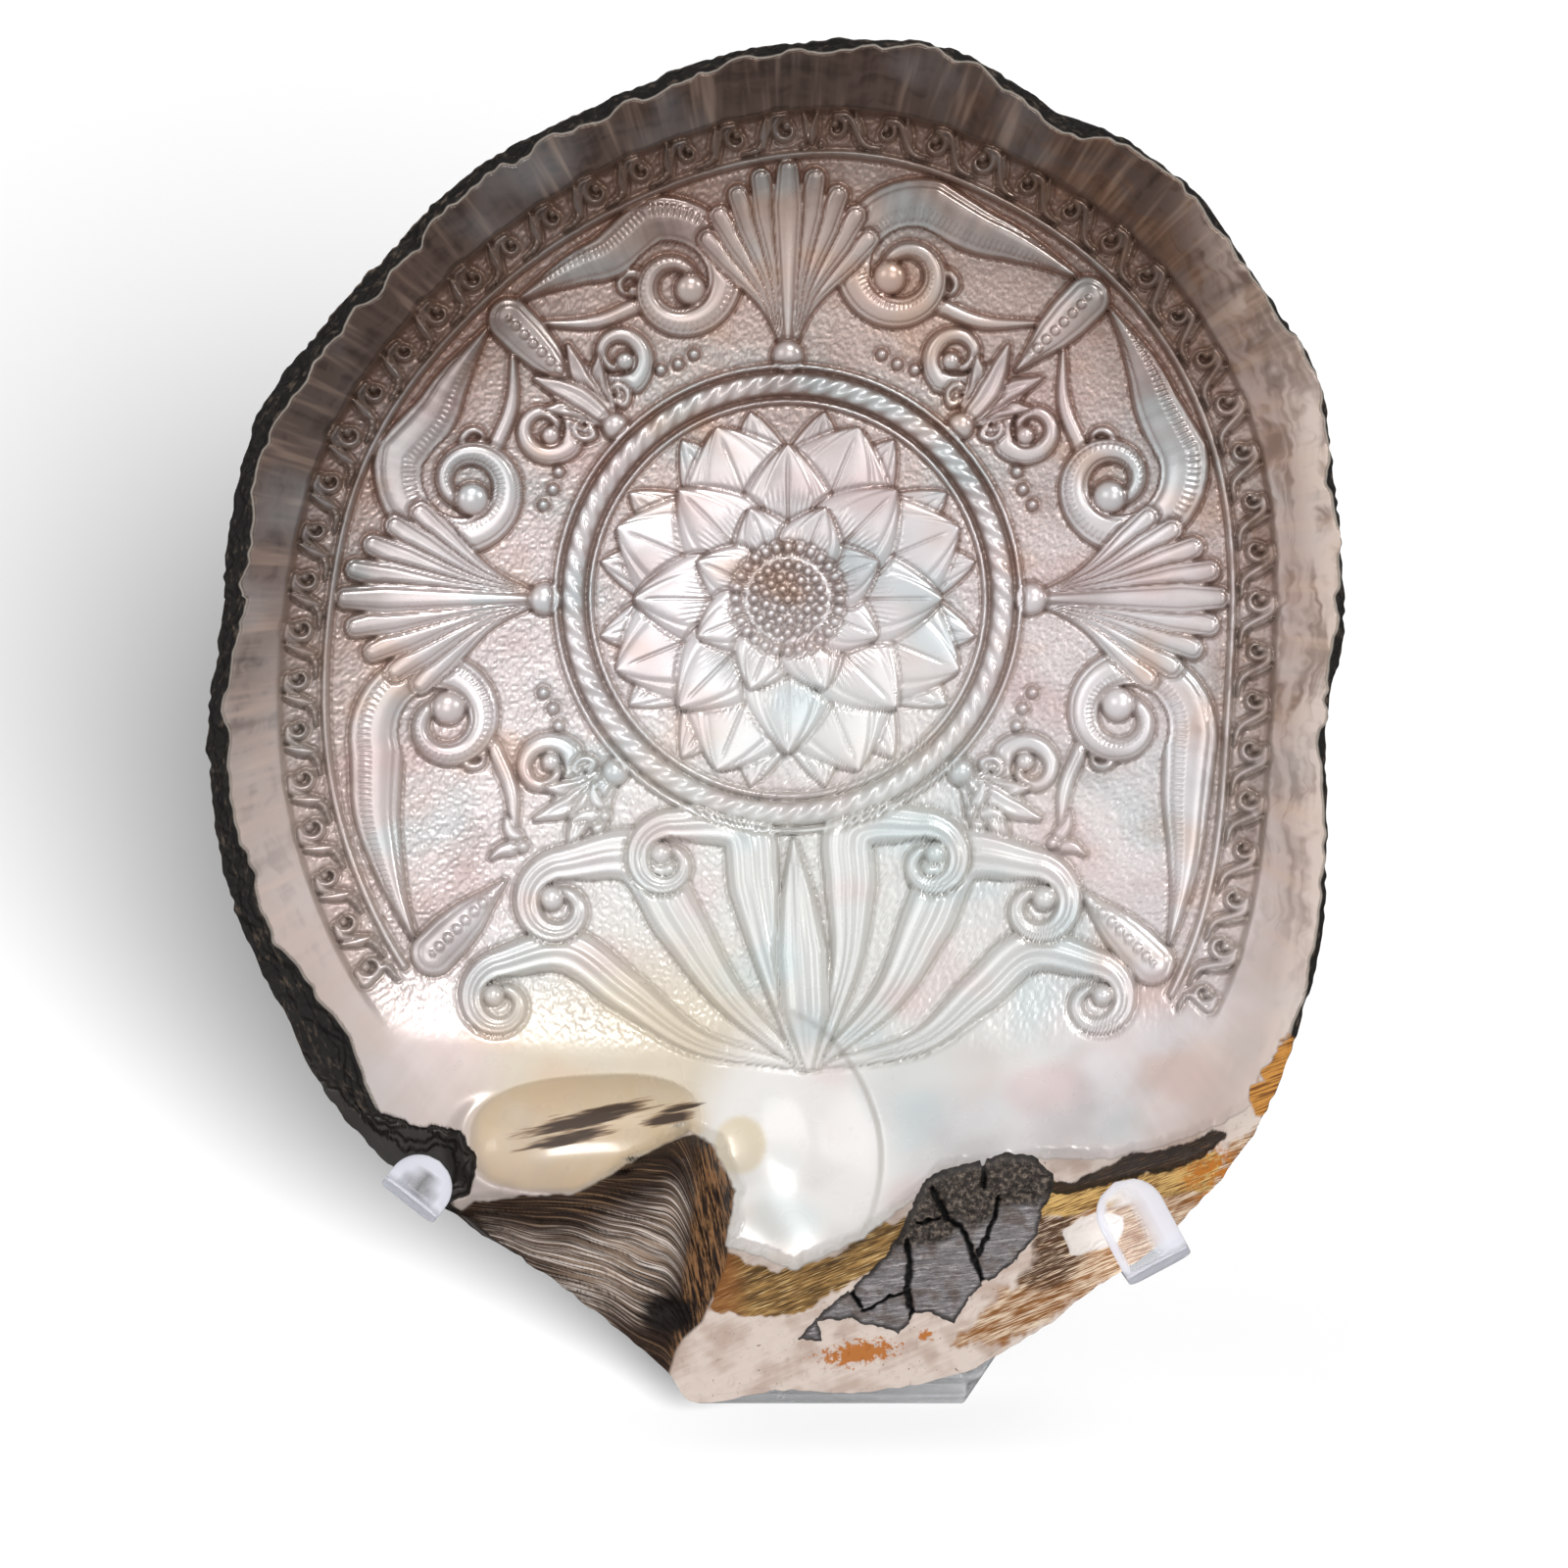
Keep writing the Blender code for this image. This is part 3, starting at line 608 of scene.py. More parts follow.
# How far each cell lies below its surroundings; the face material paints shade into these recesses.
recess_shade_depth = blur(HEIGHT, 2.2) - HEIGHT
fall_y, fall_x = np.gradient(HEIGHT, CELL)
plain_y, plain_x = np.gradient(blur(HEIGHT, 9.0), CELL)
wall = np.clip(np.hypot(fall_x - plain_x, fall_y - plain_y), 0.0, 2.0)

FIELDS = {
    "plane": (X, Y, relief),
    "work": (wall, recess_shade_depth, ground),
    "rim": (EDGE, nacre, groove),
    "hinge_zone": (hinge, wedge, lacquer),
    "layer_zone": (ochre, strip, yellow),
    "patch_zone": (streaked, white, cup),
    "horn_zone": (horn, patch, 0.0 * horn),
    "grain": (grain_across, grain_along, V),
}


def look_up(values, x, y):
    """Value of a raster between its cells."""
    i = np.clip((x - grid_x[0]) / CELL, 0, len(grid_x) - 1.001)
    j = np.clip((y - grid_y[0]) / CELL, 0, len(grid_y) - 1.001)
    i0, j0 = i.astype(int), j.astype(int)
    f, g = i - i0, j - j0
    top = values[j0, i0] * (1 - f) + values[j0, i0 + 1] * f
    return top * (1 - g) + (values[j0 + 1, i0] * (1 - f) + values[j0 + 1, i0 + 1] * f) * g


def lean_back(vectors):
    """Vectors of the shell's plane, turned as the plane leans in the easel."""
    x, y, z = vectors.T
    c, s = math.cos(LEAN), math.sin(LEAN)
    return np.stack([x, y * c - z * s, y * s + z * c], axis=1)


def in_place(points):
    """Points of the shell's plane as they stand in the easel, in metres."""
    return (lean_back(points) + np.array(ORIGIN)) * MM


def placed(name, data):
    """New object in the scene."""
    obj = bpy.data.objects.new(name, data)
    bpy.context.scene.collection.objects.link(obj)
    return obj


def add_mesh(name, points, faces, uv=None, normals=None, fields=None):
    """Mesh object from plane points; faces are rows of vertex numbers."""
    mesh = bpy.data.meshes.new(name)
    mesh.from_pydata(in_place(points).tolist(), [], faces)
    for label, values in (fields or {}).items():
        column = mesh.attributes.new(label, "FLOAT_VECTOR", "POINT").data
        column.foreach_set("vector", values.astype(np.float32).ravel())
    if uv is not None:
        corners = np.empty(len(mesh.loops), np.int32)
        mesh.loops.foreach_get("vertex_index", corners)
        flat_map = mesh.uv_layers.new(name="OFBake").data
        flat_map.foreach_set("uv", uv[corners].astype(np.float32).ravel())
    mesh.polygons.foreach_set("use_smooth", [True] * len(mesh.polygons))
    if normals is not None:
        mesh.normals_split_custom_set_from_vertices(lean_back(normals).tolist())
    return placed(name, mesh)


def cells(corner, count):
    """Quads on a grid of count points a row, given by their first corners, and which points they use."""
    faces = np.stack([corner, corner + 1, corner + 1 + count, corner + count], axis=1)
    used, faces = np.unique(faces, return_inverse=True)
    return used, faces.reshape(-1, 4).tolist()


def fine_radius(angle):
    """The margin with the small notches of its flakes."""
    arc = np.asarray(angle) * 90.0
    notch = 0.45 + 0.35 * noise(arc / 3.1, arc * 0 + 0.5, 30) + 0.25 * noise(arc / 1.1, arc * 0 + 0.5, 31)
    return edge_radius(angle) - np.clip(notch, 0.0, 1.1)


HALF = 300


def grid_of_face():
    """A square grid bent to the outline: where its points lie, and which square ring they are on."""
    steps = np.arange(-HALF, HALF + 1)
    a, b = np.meshgrid(steps / HALF, steps / HALF)
    wide = np.abs(a) > np.abs(b)
    safe_a = np.where(a == 0, 1.0, a)
    safe_b = np.where(b == 0, 1.0, b)
    radius = np.where(wide, a, b)
    phi = np.where(wide, math.pi / 4 * b / safe_a, math.pi / 2 - math.pi / 4 * a / safe_b)
    px, py = radius * np.cos(phi), radius * np.sin(phi)
    angle = np.arctan2(py, px)
    reach = np.abs(radius) * fine_radius(angle)
    return HEART[0] + reach * np.cos(angle), HEART[1] + reach * np.sin(angle), a, b, angle


face_x, face_y, face_a, face_b, face_angle = grid_of_face()
face_z = look_up(HEIGHT, face_x, face_y)


def face_piece(name, inner, outer):
    """The part of the face between two square rings of the grid."""
    count = 2 * HALF + 1
    i, j = np.meshgrid(np.arange(count - 1), np.arange(count - 1))
    ring = np.maximum(np.abs(i + 0.5 - HALF), np.abs(j + 0.5 - HALF))
    chosen = (ring > inner * HALF) & (ring < outer * HALF)
    used, faces = cells((j * count + i)[chosen], count)
    x, y, z, a, b = (v.ravel()[used] for v in (face_x, face_y, face_z, face_a, face_b))
    normals = np.stack([-look_up(fall_x, x, y), -look_up(fall_y, x, y), np.ones_like(x)], axis=1)
    normals = normals / np.linalg.norm(normals, axis=1)[:, None]
    uv = np.stack([a, b], axis=1) * 0.49 + 0.5
    fields = {label: np.stack([look_up(v, x, y) for v in values], axis=1) for label, values in FIELDS.items()}
    return add_mesh(name, np.stack([x, y, z], axis=1), faces, uv, normals, fields)


face_pieces = [
    face_piece("shell_rosette", 0.0, 0.5),
    face_piece("shell_volutes", 0.5, 0.7068),
    face_piece("shell_border", 0.7068, 0.8667),
    face_piece("shell_margin", 0.8667, 1.0),
]


def rgb(red, green, blue):
    """Linear colour from the 0 to 255 values of a screen colour."""
    parts = [v / 255.0 for v in (red, green, blue)]
    return tuple(p / 12.92 if p <= 0.04045 else ((p + 0.055) / 1.055) ** 2.4 for p in parts) + (1.0,)


class Shade:
    """An output of a shader node. Arithmetic on it adds Math nodes."""
    tree = None

    def __init__(self, socket):
        self.socket = socket

    @staticmethod
    def node(kind, settings=None, inputs=None, out=0):
        made = Shade.tree.nodes.new(kind)
        for key, value in (settings or {}).items():
            setattr(made, key, value)
        for key, value in (inputs or {}).items():
            if isinstance(value, Shade):
                Shade.tree.links.new(value.socket, made.inputs[key])
            else:
                made.inputs[key].default_value = value
        return Shade(made.outputs[out])

    @staticmethod
    def math(operation, *terms):
        return Shade.node("ShaderNodeMath", {"operation": operation}, dict(enumerate(terms)))

    def __add__(self, other):
        return self.math("ADD", self, other)

    def __sub__(self, other):
        return self.math("SUBTRACT", self, other)

    def __rsub__(self, other):
        return self.math("SUBTRACT", other, self)

    def __mul__(self, other):
        return self.math("MULTIPLY", self, other)

    def __truediv__(self, other):
        return self.math("DIVIDE", self, other)

    __radd__ = __add__
    __rmul__ = __mul__

    def larger(self, other):
        return self.math("MAXIMUM", self, other)

    def smaller(self, other):
        return self.math("MINIMUM", self, other)

    def step(self, low, high):
        """0 at low and 1 at high, smooth between them."""
        return self.node("ShaderNodeMapRange", {"interpolation_type": "SMOOTHSTEP"},
                         {"Value": self, "From Min": low, "From Max": high})

    def parts(self):
        split = self.node("ShaderNodeSeparateXYZ", inputs={0: self})
        return [Shade(socket) for socket in split.socket.node.outputs]


def field_of(name):
    return Shade.node("ShaderNodeAttribute", {"attribute_name": name}, out="Vector")


def joined(x, y, z=0.0):
    return Shade.node("ShaderNodeCombineXYZ", inputs={0: x, 1: y, 2: z})


def grain_of(vector, scale, detail=2.0, rough=0.55):
    return Shade.node("ShaderNodeTexNoise",
                      inputs={"Vector": vector, "Scale": scale, "Detail": detail, "Roughness": rough})


def blend(a, b, amount):
    settings = {"data_type": "RGBA", "clamp_factor": True}
    return Shade.node("ShaderNodeMix", settings, {0: amount, 6: a, 7: b}, out=2)


def paint(tone, *coats):
    """Colours laid over a tone one after another; each coat is a colour and how much of it covers."""
    for color, amount in coats:
        tone = blend(tone, color if isinstance(color, Shade) else rgb(*color), amount)
    return tone


def oval(x, y, centre, size=(1.0, 1.0), slope=0.0):
    """Distance from a centre, in half widths and half heights of an oval that may lie aslant."""
    dx, dy = x - centre[0], y - centre[1]
    if slope:
        dy = dy - dx * slope
    dx, dy = dx / size[0], dy / size[1]
    return Shade.math("SQRT", dx * dx + dy * dy)


def new_material(name):
    """Empty material; the shades that follow are added to its tree."""
    material = bpy.data.materials.new(name)
    material.use_nodes = True
    Shade.tree = material.node_tree
    return material, material.node_tree.nodes["Principled BSDF"]


def set_surface(surface, **inputs):
    for key, value in inputs.items():
        socket = surface.inputs[key.replace("_", " ")]
        if isinstance(value, Shade):
            Shade.tree.links.new(value.socket, socket)
        else:
            socket.default_value = value


def bump(height, strength, distance=0.0004):
    return Shade.node("ShaderNodeBump", inputs={"Strength": strength, "Distance": distance, "Height": height})


def mix_surfaces(surface, other, amount):
    mixed = Shade.node("ShaderNodeMixShader", inputs={0: amount, 1: Shade(surface.outputs[0]), 2: other})
    Shade.tree.links.new(mixed.socket, Shade.tree.nodes["Material Output"].inputs["Surface"])


def face_material():
    material, surface = new_material("nacre and hinge layers")
    plane = field_of("plane")
    x, y, _ = plane.parts()
    wall_slope, recess_shade, ground_mask = field_of("work").parts()
    edge, in_nacre, groove_mask = field_of("rim").parts()
    in_hinge, in_wedge, in_lacquer = field_of("hinge_zone").parts()
    in_ochre, in_strip, in_yellow = field_of("layer_zone").parts()
    in_streaked, in_white, cup_reach = field_of("patch_zone").parts()
    in_horn, in_patch, _ = field_of("horn_zone").parts()
    across, along, out = field_of("grain").parts()

    # Noise by plane, by direction from the heart of the carving, and in rings along the margin.
    spread = Shade.node("ShaderNodeVectorMath", {"operation": "SUBTRACT"}, {0: plane, 1: (*HEART, 0.0)})
    spread = Shade.node("ShaderNodeVectorMath", {"operation": "MULTIPLY"}, {0: spread, 1: (1.0, 1.0, 0.0)})
    dir_x, dir_y, _ = Shade.node("ShaderNodeVectorMath", {"operation": "NORMALIZE"}, {0: spread}).parts()
    flat = joined(x, y)
    clouds = grain_of(flat, 0.045)
    blotch = grain_of(flat, 0.16, rough=0.6)
    speck = grain_of(flat, 1.1, rough=0.7)
    stipple = grain_of(flat, 2.6, rough=0.6)
    rays = grain_of(joined(dir_x * 30.0, dir_y * 30.0, edge * 0.05), 1.0, rough=0.65)
    warped = joined(dir_x * 5.0 + blotch * 2.0, dir_y * 5.0, edge * 0.45 + blotch * 3.0)
    rings = grain_of(warped, 1.0, rough=0.6)
    painted_glow = grain_of(joined(x + 40.0, y * 1.3), 0.055, rough=0.5)
    painted_sheen = grain_of(joined(x * 0.8 + 90.0, y), 0.07, 1.0)

    # Where the nacre changes: pale low down, cream by the cup, white in the hollow, grey to the left. The
    # white of the hollow is partly the nacre's own colour and partly a painted reflection.
    cloud = clouds - 0.5
    pale = (oval(x, y, (8.0, -34.0)) + cloud * 30.0).step(58.0, 20.0)
    cream = (oval(x, y, (-22.0, -54.0), (1.0, 1.0 / 1.2)) + cloud * 16.0).step(34.0, 10.0)
    white_hollow_and_reflection = (oval(x, y, (3.0, -64.0), (1.0 / 1.3, 1.0)) + cloud * 10.0).step(24.0, 12.0)
    butter = oval(x, y, (-5.0, -62.5), (1.0, 1.0 / 0.9)).step(4.4, 3.2)
    left = x.step(-35.0, -75.0) * y.step(50.0, 0.0)
    right = (x - y * 0.25).step(34.0, 68.0)
    low_left = y.step(40.0, -35.0) * (1.0 - right)
    far = (1.0 - right) * y.step(-10.0, 50.0)
    above = y.step(-46.0, -24.0)
    tone = paint(
        blend(rgb(194, 176, 168), rgb(230, 224, 226), y.step(80.0, 15.0)),
        ((214, 215, 213), pale),
        ((208, 196, 176), cream),
        ((232, 230, 228), white_hollow_and_reflection),
        ((214, 198, 164), butter * 0.7),
        ((182, 164, 156), left * 0.8),
        # Painted sheen: soft orange and dark patches and pink and blue tints stand in for the pearl's
        # shifting reflections.
        ((210, 172, 146), painted_glow.step(0.52, 0.70) * (1.0 - pale) * 0.60),
        ((134, 122, 120), painted_glow.step(0.46, 0.28) * (1.0 - pale) * 0.45),
        ((210, 180, 178), painted_sheen.step(0.52, 0.72) * (1.0 - cream) * 0.45),
        ((188, 208, 212), painted_sheen.step(0.47, 0.30) * (1.0 - cream) * 0.45))

    # The plain margin: smoky with brown stains far from the hinge, rosy on the right, pale low down. Its
    # paler right side and the pale band along the right edge are partly its own colour and partly a painted
    # highlight.
    uneven = edge + (rays - 0.5) * 9.0 + (rings - 0.5) * 5.0
    margin = uneven.step(27.0 + far * 6.0, 2.5 + far * 8.0)
    low_down = (low_left + right * y.step(0.0, -40.0)).smaller(1.0)
    margin_tone = paint(rgb(74, 56, 48), ((158, 134, 122), right), ((184, 168, 162), low_down * 0.85))
    mottle = (rings * 0.6 + blotch * 0.4).step(0.44, 0.62)
    right_side = edge.step(24.0, 12.0) * x.step(10.0, 50.0) * y.step(-45.0, 0.0)
    stain = (rays * 0.55 + rings * 0.45).step(0.47, 0.66) * edge.step(22.0, 4.0) * above
    tone = paint(
        tone,
        (margin_tone, margin * 0.95),
        ((112, 80, 60), mottle * right_side * 0.75),
        # Pale band along the right edge: partly the margin's own colour, partly a painted highlight.
        ((216, 200, 190), edge.step(8.0, 2.0) * right * (1.0 - mottle * 0.7) * 0.7),
        ((44, 32, 27), stain * (0.75 - low_left * 0.45 - right * 0.50)),
        ((204, 176, 156), (1.0 - rays).step(0.50, 0.74) * edge.step(20.0, 5.0) * above * 0.28),
        ((176, 182, 186), clouds.step(0.50, 0.72) * 0.25))

    # Cut walls and grooves show copper. This is partly the darker layers the carving exposes and partly
    # painted shade and a painted dark reflection on the steep walls, with painted shade deepest in the
    # recesses. The recessed ground is darker and stippled.
    copper_and_shade = (1.0 - pale * 0.8) * (1.0 - cream * 0.85) * (1.0 - white_hollow_and_reflection)
    copper_and_shade = copper_and_shade * (1.0 - in_hinge.step(-2.0, 0.0)) * (1.0 - out.step(0.78, 0.80) * 0.35)
    copper_and_shade = copper_and_shade * (0.50 + y.step(-15.0, 45.0) * 0.50)
    cut = wall_slope.step(0.35, 1.4) * 0.8 + groove_mask * 0.4 + recess_shade.step(0.25, 0.9) * 0.25
    cut = cut.smaller(1.0)
    tone = paint(
        tone,
        ((108, 70, 50), cut * copper_and_shade * 0.74),
        ((176, 170, 158), cut * (1.0 - copper_and_shade) * 0.40),
        ((146, 108, 90), ground_mask * copper_and_shade * (0.20 + stipple.step(0.35, 0.65) * 0.35)))

    # The cup: cream to tan with dark brown strokes across it.
    in_cup = cup_reach.step(1.10, 0.90) * (1.0 - in_wedge.step(-0.5, 0.5))
    fibre = grain_of(joined(x * 0.16, (y - x * 0.20) * 2.2), 1.0, rough=0.6)
    strokes = 0.0
    for centre, size in (((-28.2, -58.9), (8.6, 1.25)), ((-30.4, -61.6), (6.4, 0.9)),
                         ((-24.0, -57.2), (5.4, 0.8)), ((-15.6, -58.6), (3.8, 0.9)),
                         ((-13.8, -57.0), (2.6, 0.6))):
        reach = oval(x, y, centre, size, 0.20)
        strokes = (reach + (fibre - 0.5) * 1.8).step(1.25, 0.55).larger(strokes)
    tone = paint(
        tone,
        ((204, 180, 146), in_cup * (0.60 + (blotch - 0.5) * 1.2)),
        ((150, 108, 66), in_cup * (strokes * 3.0).smaller(1.0) * 0.5),
        ((52, 34, 22), strokes * 0.95))

    # Dark crust beyond the nacre, with a thin pale line at the step.
    crust = in_nacre.step(0.12, -0.12)
    flake = grain_of(joined(dir_x * 40.0, dir_y * 40.0, edge * 1.2), 1.0, rough=0.7)
    line = in_nacre.step(-0.45, -0.15) * in_nacre.step(0.15, -0.05)
    crust_tone = paint(
        rgb(26, 23, 22),
        ((84, 72, 62), flake.step(0.52, 0.80)),
        ((30, 25, 22), in_lacquer.step(-0.4, 0.6) * 0.85),
        ((188, 178, 168), line * (1.0 - in_lacquer.step(-1.0, 0.0)) * 0.7))

    # Hinge layers. Streaks run along the growth layers, in four widths.
    hinge_mask = in_hinge.step(-0.25, 0.25)
    streak = grain_of(joined(across * 0.9, along * 0.10), 1.0, rough=0.7)
    fine_streak = grain_of(joined(across * 3.2, along * 0.14), 1.0, rough=0.7)
    threads = grain_of(joined(across * 5.5, along * 0.22), 1.0, rough=0.75)
    mixed_streak = streak * 0.5 + speck * 0.5

    # Worn chalk with two spots of rust.
    rust_spot = (oval(x, y, (12.4, -92.6), (7.6, 2.4), 0.12) * 0.6 + speck * 1.2).step(1.08, 0.88)
    rust_more = (oval(x, y, (22.3, -90.0), (1.5, 1.1)) * 0.5 + speck * 1.2).step(1.0, 0.8)
    layers = paint(
        rgb(204, 190, 181),
        ((180, 160, 149), (blotch * 0.7 + streak * 0.3).step(0.42, 0.62)),
        ((120, 96, 82), speck.step(0.66, 0.74) * 0.8),
        ((172, 106, 50), rust_spot.larger(rust_more)))

    # Brown streaks, a yellow band, a white chip, ochre fibres, more rust and a dark strip.
    beside_horn = oval(x, y, (39.0, -77.0), (6.5, 6.5))
    near_horn = (beside_horn * beside_horn).step(1.6, 0.5)
    dark_threads = (threads + near_horn * 0.12).step(0.50, 0.62) * (0.35 + near_horn * 0.6)
    streak_tone = paint(
        rgb(214, 194, 170),
        ((142, 92, 46), (streak * 0.35 + threads * 0.65).step(0.40, 0.56)),
        ((70, 46, 30), dark_threads))
    yellow_tone = blend(rgb(206, 170, 106), rgb(104, 68, 34), threads.step(0.45, 0.60))
    ochre_tone = paint(
        rgb(170, 132, 78),
        ((78, 56, 30), (streak * 0.4 + threads * 0.6).step(0.40, 0.58)),
        ((214, 194, 146), threads.step(0.44, 0.30) * 0.8),
        ((128, 76, 34), x.step(-3.0, -7.0) * 0.7))
    rust_right = oval(x, y, (63.6, -66.0), (4.4, 4.2)).step(1.3, 0.6)
    strip_tone = blend(rgb(30, 21, 16), rgb(92, 66, 44), threads.step(0.52, 0.68))
    layers = paint(
        layers,
        (streak_tone, in_streaked.step(-0.6, 0.8)),
        (yellow_tone, in_yellow.step(-0.2, 0.3)),
        ((214, 206, 201), in_white.step(-0.1, 0.2)),
        (ochre_tone, in_ochre.step(-0.2, 0.3)),
        ((178, 110, 40), rust_right * mixed_streak.step(0.44, 0.58)),
        (strip_tone, in_strip.step(-0.1, 0.3) * 0.96))

    # The striped wedge with its brown crest and the dark pit near its tip.
    stripes = grain_of(joined(across * 1.7, along * 0.05), 1.0, rough=0.75)
    fine_stripes = grain_of(joined(across * 5.0, along * 0.08), 1.0, rough=0.7)
    depth = in_wedge + (streak - 0.5) * 5.0
    crest_brown = x + 9.5 - (y + 62.0) * 0.13 + (streak - 0.5) * 3.0
    crest_brown = crest_brown.step(-2.2, -0.2) * y.step(-60.0, -63.0)
    crest_lines = grain_of(joined(x * 2.6 + y * 0.5, y * 0.22), 1.0, rough=0.75)
    pit = (oval(x, y, (-15.5, -86.8), (4.2, 3.0)) + (streak - 0.5)).step(1.2, 0.7)
    wedge_tone = paint(
        rgb(52, 36, 27),
        ((150, 129, 112), depth.step(4.0, 12.0)),
        ((216, 204, 196), stripes.step(0.49, 0.58) * depth.step(3.0, 10.0) * 0.95),
        ((148, 116, 86), stripes.step(0.52, 0.62) * depth.step(9.0, 1.0) * 0.6),
        ((26, 18, 13), fine_stripes.step(0.50, 0.60) * 0.9),
        ((196, 170, 140), (y + x * 0.75 + 113.5).step(3.5, 0.0) * 0.5),
        (blend(rgb(138, 100, 66), rgb(40, 27, 20), crest_lines.step(0.42, 0.56)), crest_brown),
        ((26, 19, 16), pit))
    layers = paint(layers, (wedge_tone, in_wedge.step(-0.3, 0.3)), ((20, 17, 16), in_horn.step(0.1, 0.4)))
    golden = in_patch.step(-0.3, 0.5)
    golden_tone = blend(rgb(196, 138, 66), rgb(120, 74, 34), fine_streak.step(0.45, 0.62))
    matt_tone = paint(crust_tone, (layers, hinge_mask), (golden_tone, golden))

    # Two surfaces: polished nacre, and everything matt.
    matt = crust.larger(hinge_mask).larger(golden)
    pearl = (1.0 - matt) * (1.0 - cream * 0.9) * (1.0 - in_cup)
    pearl = pearl * (1.0 - white_hollow_and_reflection * 0.8) * (1.0 - pale * 0.55)
    plain_margin = out.step(0.84, 0.88)
    figure = grain_of(joined(x * 1.2, y), 0.06, 1.0, 0.4)
    set_surface(surface, Base_Color=tone,
                Metallic=pearl * (0.30 + y.step(-20.0, 40.0) * 0.08 + plain_margin * (far * 0.45 - 0.16)),
                Roughness=0.22 + blotch * 0.12 + ground_mask * 0.12 + plain_margin * 0.14 + strokes * 0.3,
                Coat_Weight=0.35 - plain_margin * 0.25 - strokes * 0.3, Coat_Roughness=0.09,
                Normal=bump(figure * 1.4, 0.5))
    fine = grain_of(joined(across * 2.4, along * 0.4), 1.0, rough=0.7)
    glossy = in_lacquer.step(-0.4, 0.6) * crust
    fibrous = in_ochre.larger(in_streaked).larger(in_wedge).larger(in_yellow).larger(in_strip).step(-0.6, 0.4)
    layered = (fine * (0.12 + fibrous * 0.88) + speck * 0.4) * hinge_mask + flake * crust * (1.0 - glossy)
    dull = {"Base Color": matt_tone, "Normal": bump(layered, 0.5), "Specular IOR Level": 0.22,
            "Roughness": 0.55 + speck * 0.25 - glossy * 0.30}
    mix_surfaces(surface, Shade.node("ShaderNodeBsdfPrincipled", inputs=dull), matt)
    return material


nacre_material = face_material()
for piece in face_pieces:
    piece.data.materials.append(nacre_material)
    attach(piece, "root")
    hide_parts("shell")


def back_piece():
    """The outer side: the broken margin, then growth layers that shrink towards the umbo."""
    around = np.arange(8 * HALF)
    side, step = np.divmod(around, 2 * HALF)
    a = np.choose(side, [step, 2 * HALF + 0 * step, 2 * HALF - step, 0 * step])
    b = np.choose(side, [0 * step, step, 2 * HALF + 0 * step, 2 * HALF - step])
    edge_x, edge_y, edge_z, angle = (v[b, a] for v in (face_x, face_y, face_z, face_angle))
    arc = angle * 90.0
    rings = [(edge_x, edge_y, edge_z)]
    shares = [0.999, 0.996, 0.991, 0.984] + list(np.linspace(0.97, 0.02, 24))
    for k, g in enumerate(shares):
        flakes = 0.010 * noise(arc / 6.0, arc * 0 + k, 40) + 0.006 * noise(arc / 1.6, arc * 0 + k, 41)
        scale = np.minimum(g + flakes * (g < 0.99) * g, 0.9995)
        ledge = 0.7 * ((g * 7.0) % 1.0 - 0.5) * float(smooth(0.1, 0.3, g)) * (k > 3)
        z = -3.0 - 20.0 * (1.0 - g ** 3) + ledge + edge_wave(angle) * g ** 2
        if k < 3:
            z = edge_z * (1.0 - k / 3.0) + z * (k / 3.0)
        rings.append((UMBO[0] + scale * (edge_x - UMBO[0]), UMBO[1] + scale * (edge_y - UMBO[1]), z))
    points = np.concatenate([np.stack(ring, axis=1) for ring in rings] + [[[UMBO[0], UMBO[1], -23.0]]])
    count = len(around)
    ahead = (around + 1) % count
    faces = []
    for k in range(len(rings) - 1):
        faces += (k * count + np.stack([ahead, around, around + count, ahead + count], axis=1)).tolist()
    last, tip = (len(rings) - 1) * count, len(points) - 1
    faces += [[last + n, last + i, tip] for n, i in zip(ahead.tolist(), around.tolist())]
    share = np.append(np.repeat([1.0] + shares, count), 0.0)
    turned = np.append(np.tile(angle, len(rings)), 0.0)
    circle = np.stack([np.cos(turned), np.sin(turned)], axis=1)
    fields = {"plane": points, "crust": np.column_stack([share, circle])}
    return add_mesh("shell_outer_crust", points, faces, 0.5 + 0.49 * share[:, None] * circle, None, fields)


def crust_material():
    material, surface = new_material("outer crust")
    share, dir_x, dir_y = field_of("crust").parts()
    plane = field_of("plane")
    rays = grain_of(joined(dir_x * 22.0, dir_y * 22.0, share * 2.0), 1.0, 4.0, 0.65)
    layers = grain_of(joined(dir_x * 2.0, dir_y * 2.0, share * 60.0), 1.0, 4.0, 0.7)
    speck = grain_of(plane, 0.9, 4.0, 0.7)
    tone = paint(
        rgb(40, 34, 32),
        ((92, 78, 68), layers.step(0.42, 0.68)),
        ((150, 140, 128), rays.step(0.56, 0.72) * share.step(1.0, 0.7) * 0.7),
        ((196, 186, 172), (share + (speck - 0.5) * 0.25).step(0.45, 0.15) * 0.85),
        ((24, 22, 22), speck.step(0.60, 0.75) * 0.5))
    set_surface(surface, Base_Color=tone, Roughness=0.45 + speck * 0.35,
                Normal=bump(layers + speck * 0.7, 0.5))
    return material


crust = back_piece()
crust.data.materials.append(crust_material())
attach(crust, "root")
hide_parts("shell")

# The ligament
# What is left of the horny ligament that joined the two valves: a black crumbling block over
# blue-grey banded layers, split by drying. It grew in a pocket of the hinge and stands a little proud.
CRACKS = [
    ([(19.5, -76.2), (19.9, -80.0), (19.5, -83.0), (20.3, -87.6)], 0.45),
    ([(23.2, -68.6), (25.2, -72.7), (27.8, -74.9), (29.0, -78.2), (30.7, -82.4)], 0.40),
    ([(32.9, -70.0), (31.8, -74.2), (29.8, -78.2)], 0.32),
    ([(30.8, -64.3), (30.6, -68.2)], 0.30),
    ([(11.3, -83.3), (12.8, -85.8)], 0.30),
    ([(13.0, -86.5), (16.5, -84.6), (19.6, -83.4)], 0.22),
    ([(25.0, -72.5), (21.0, -73.6)], 0.22),
]


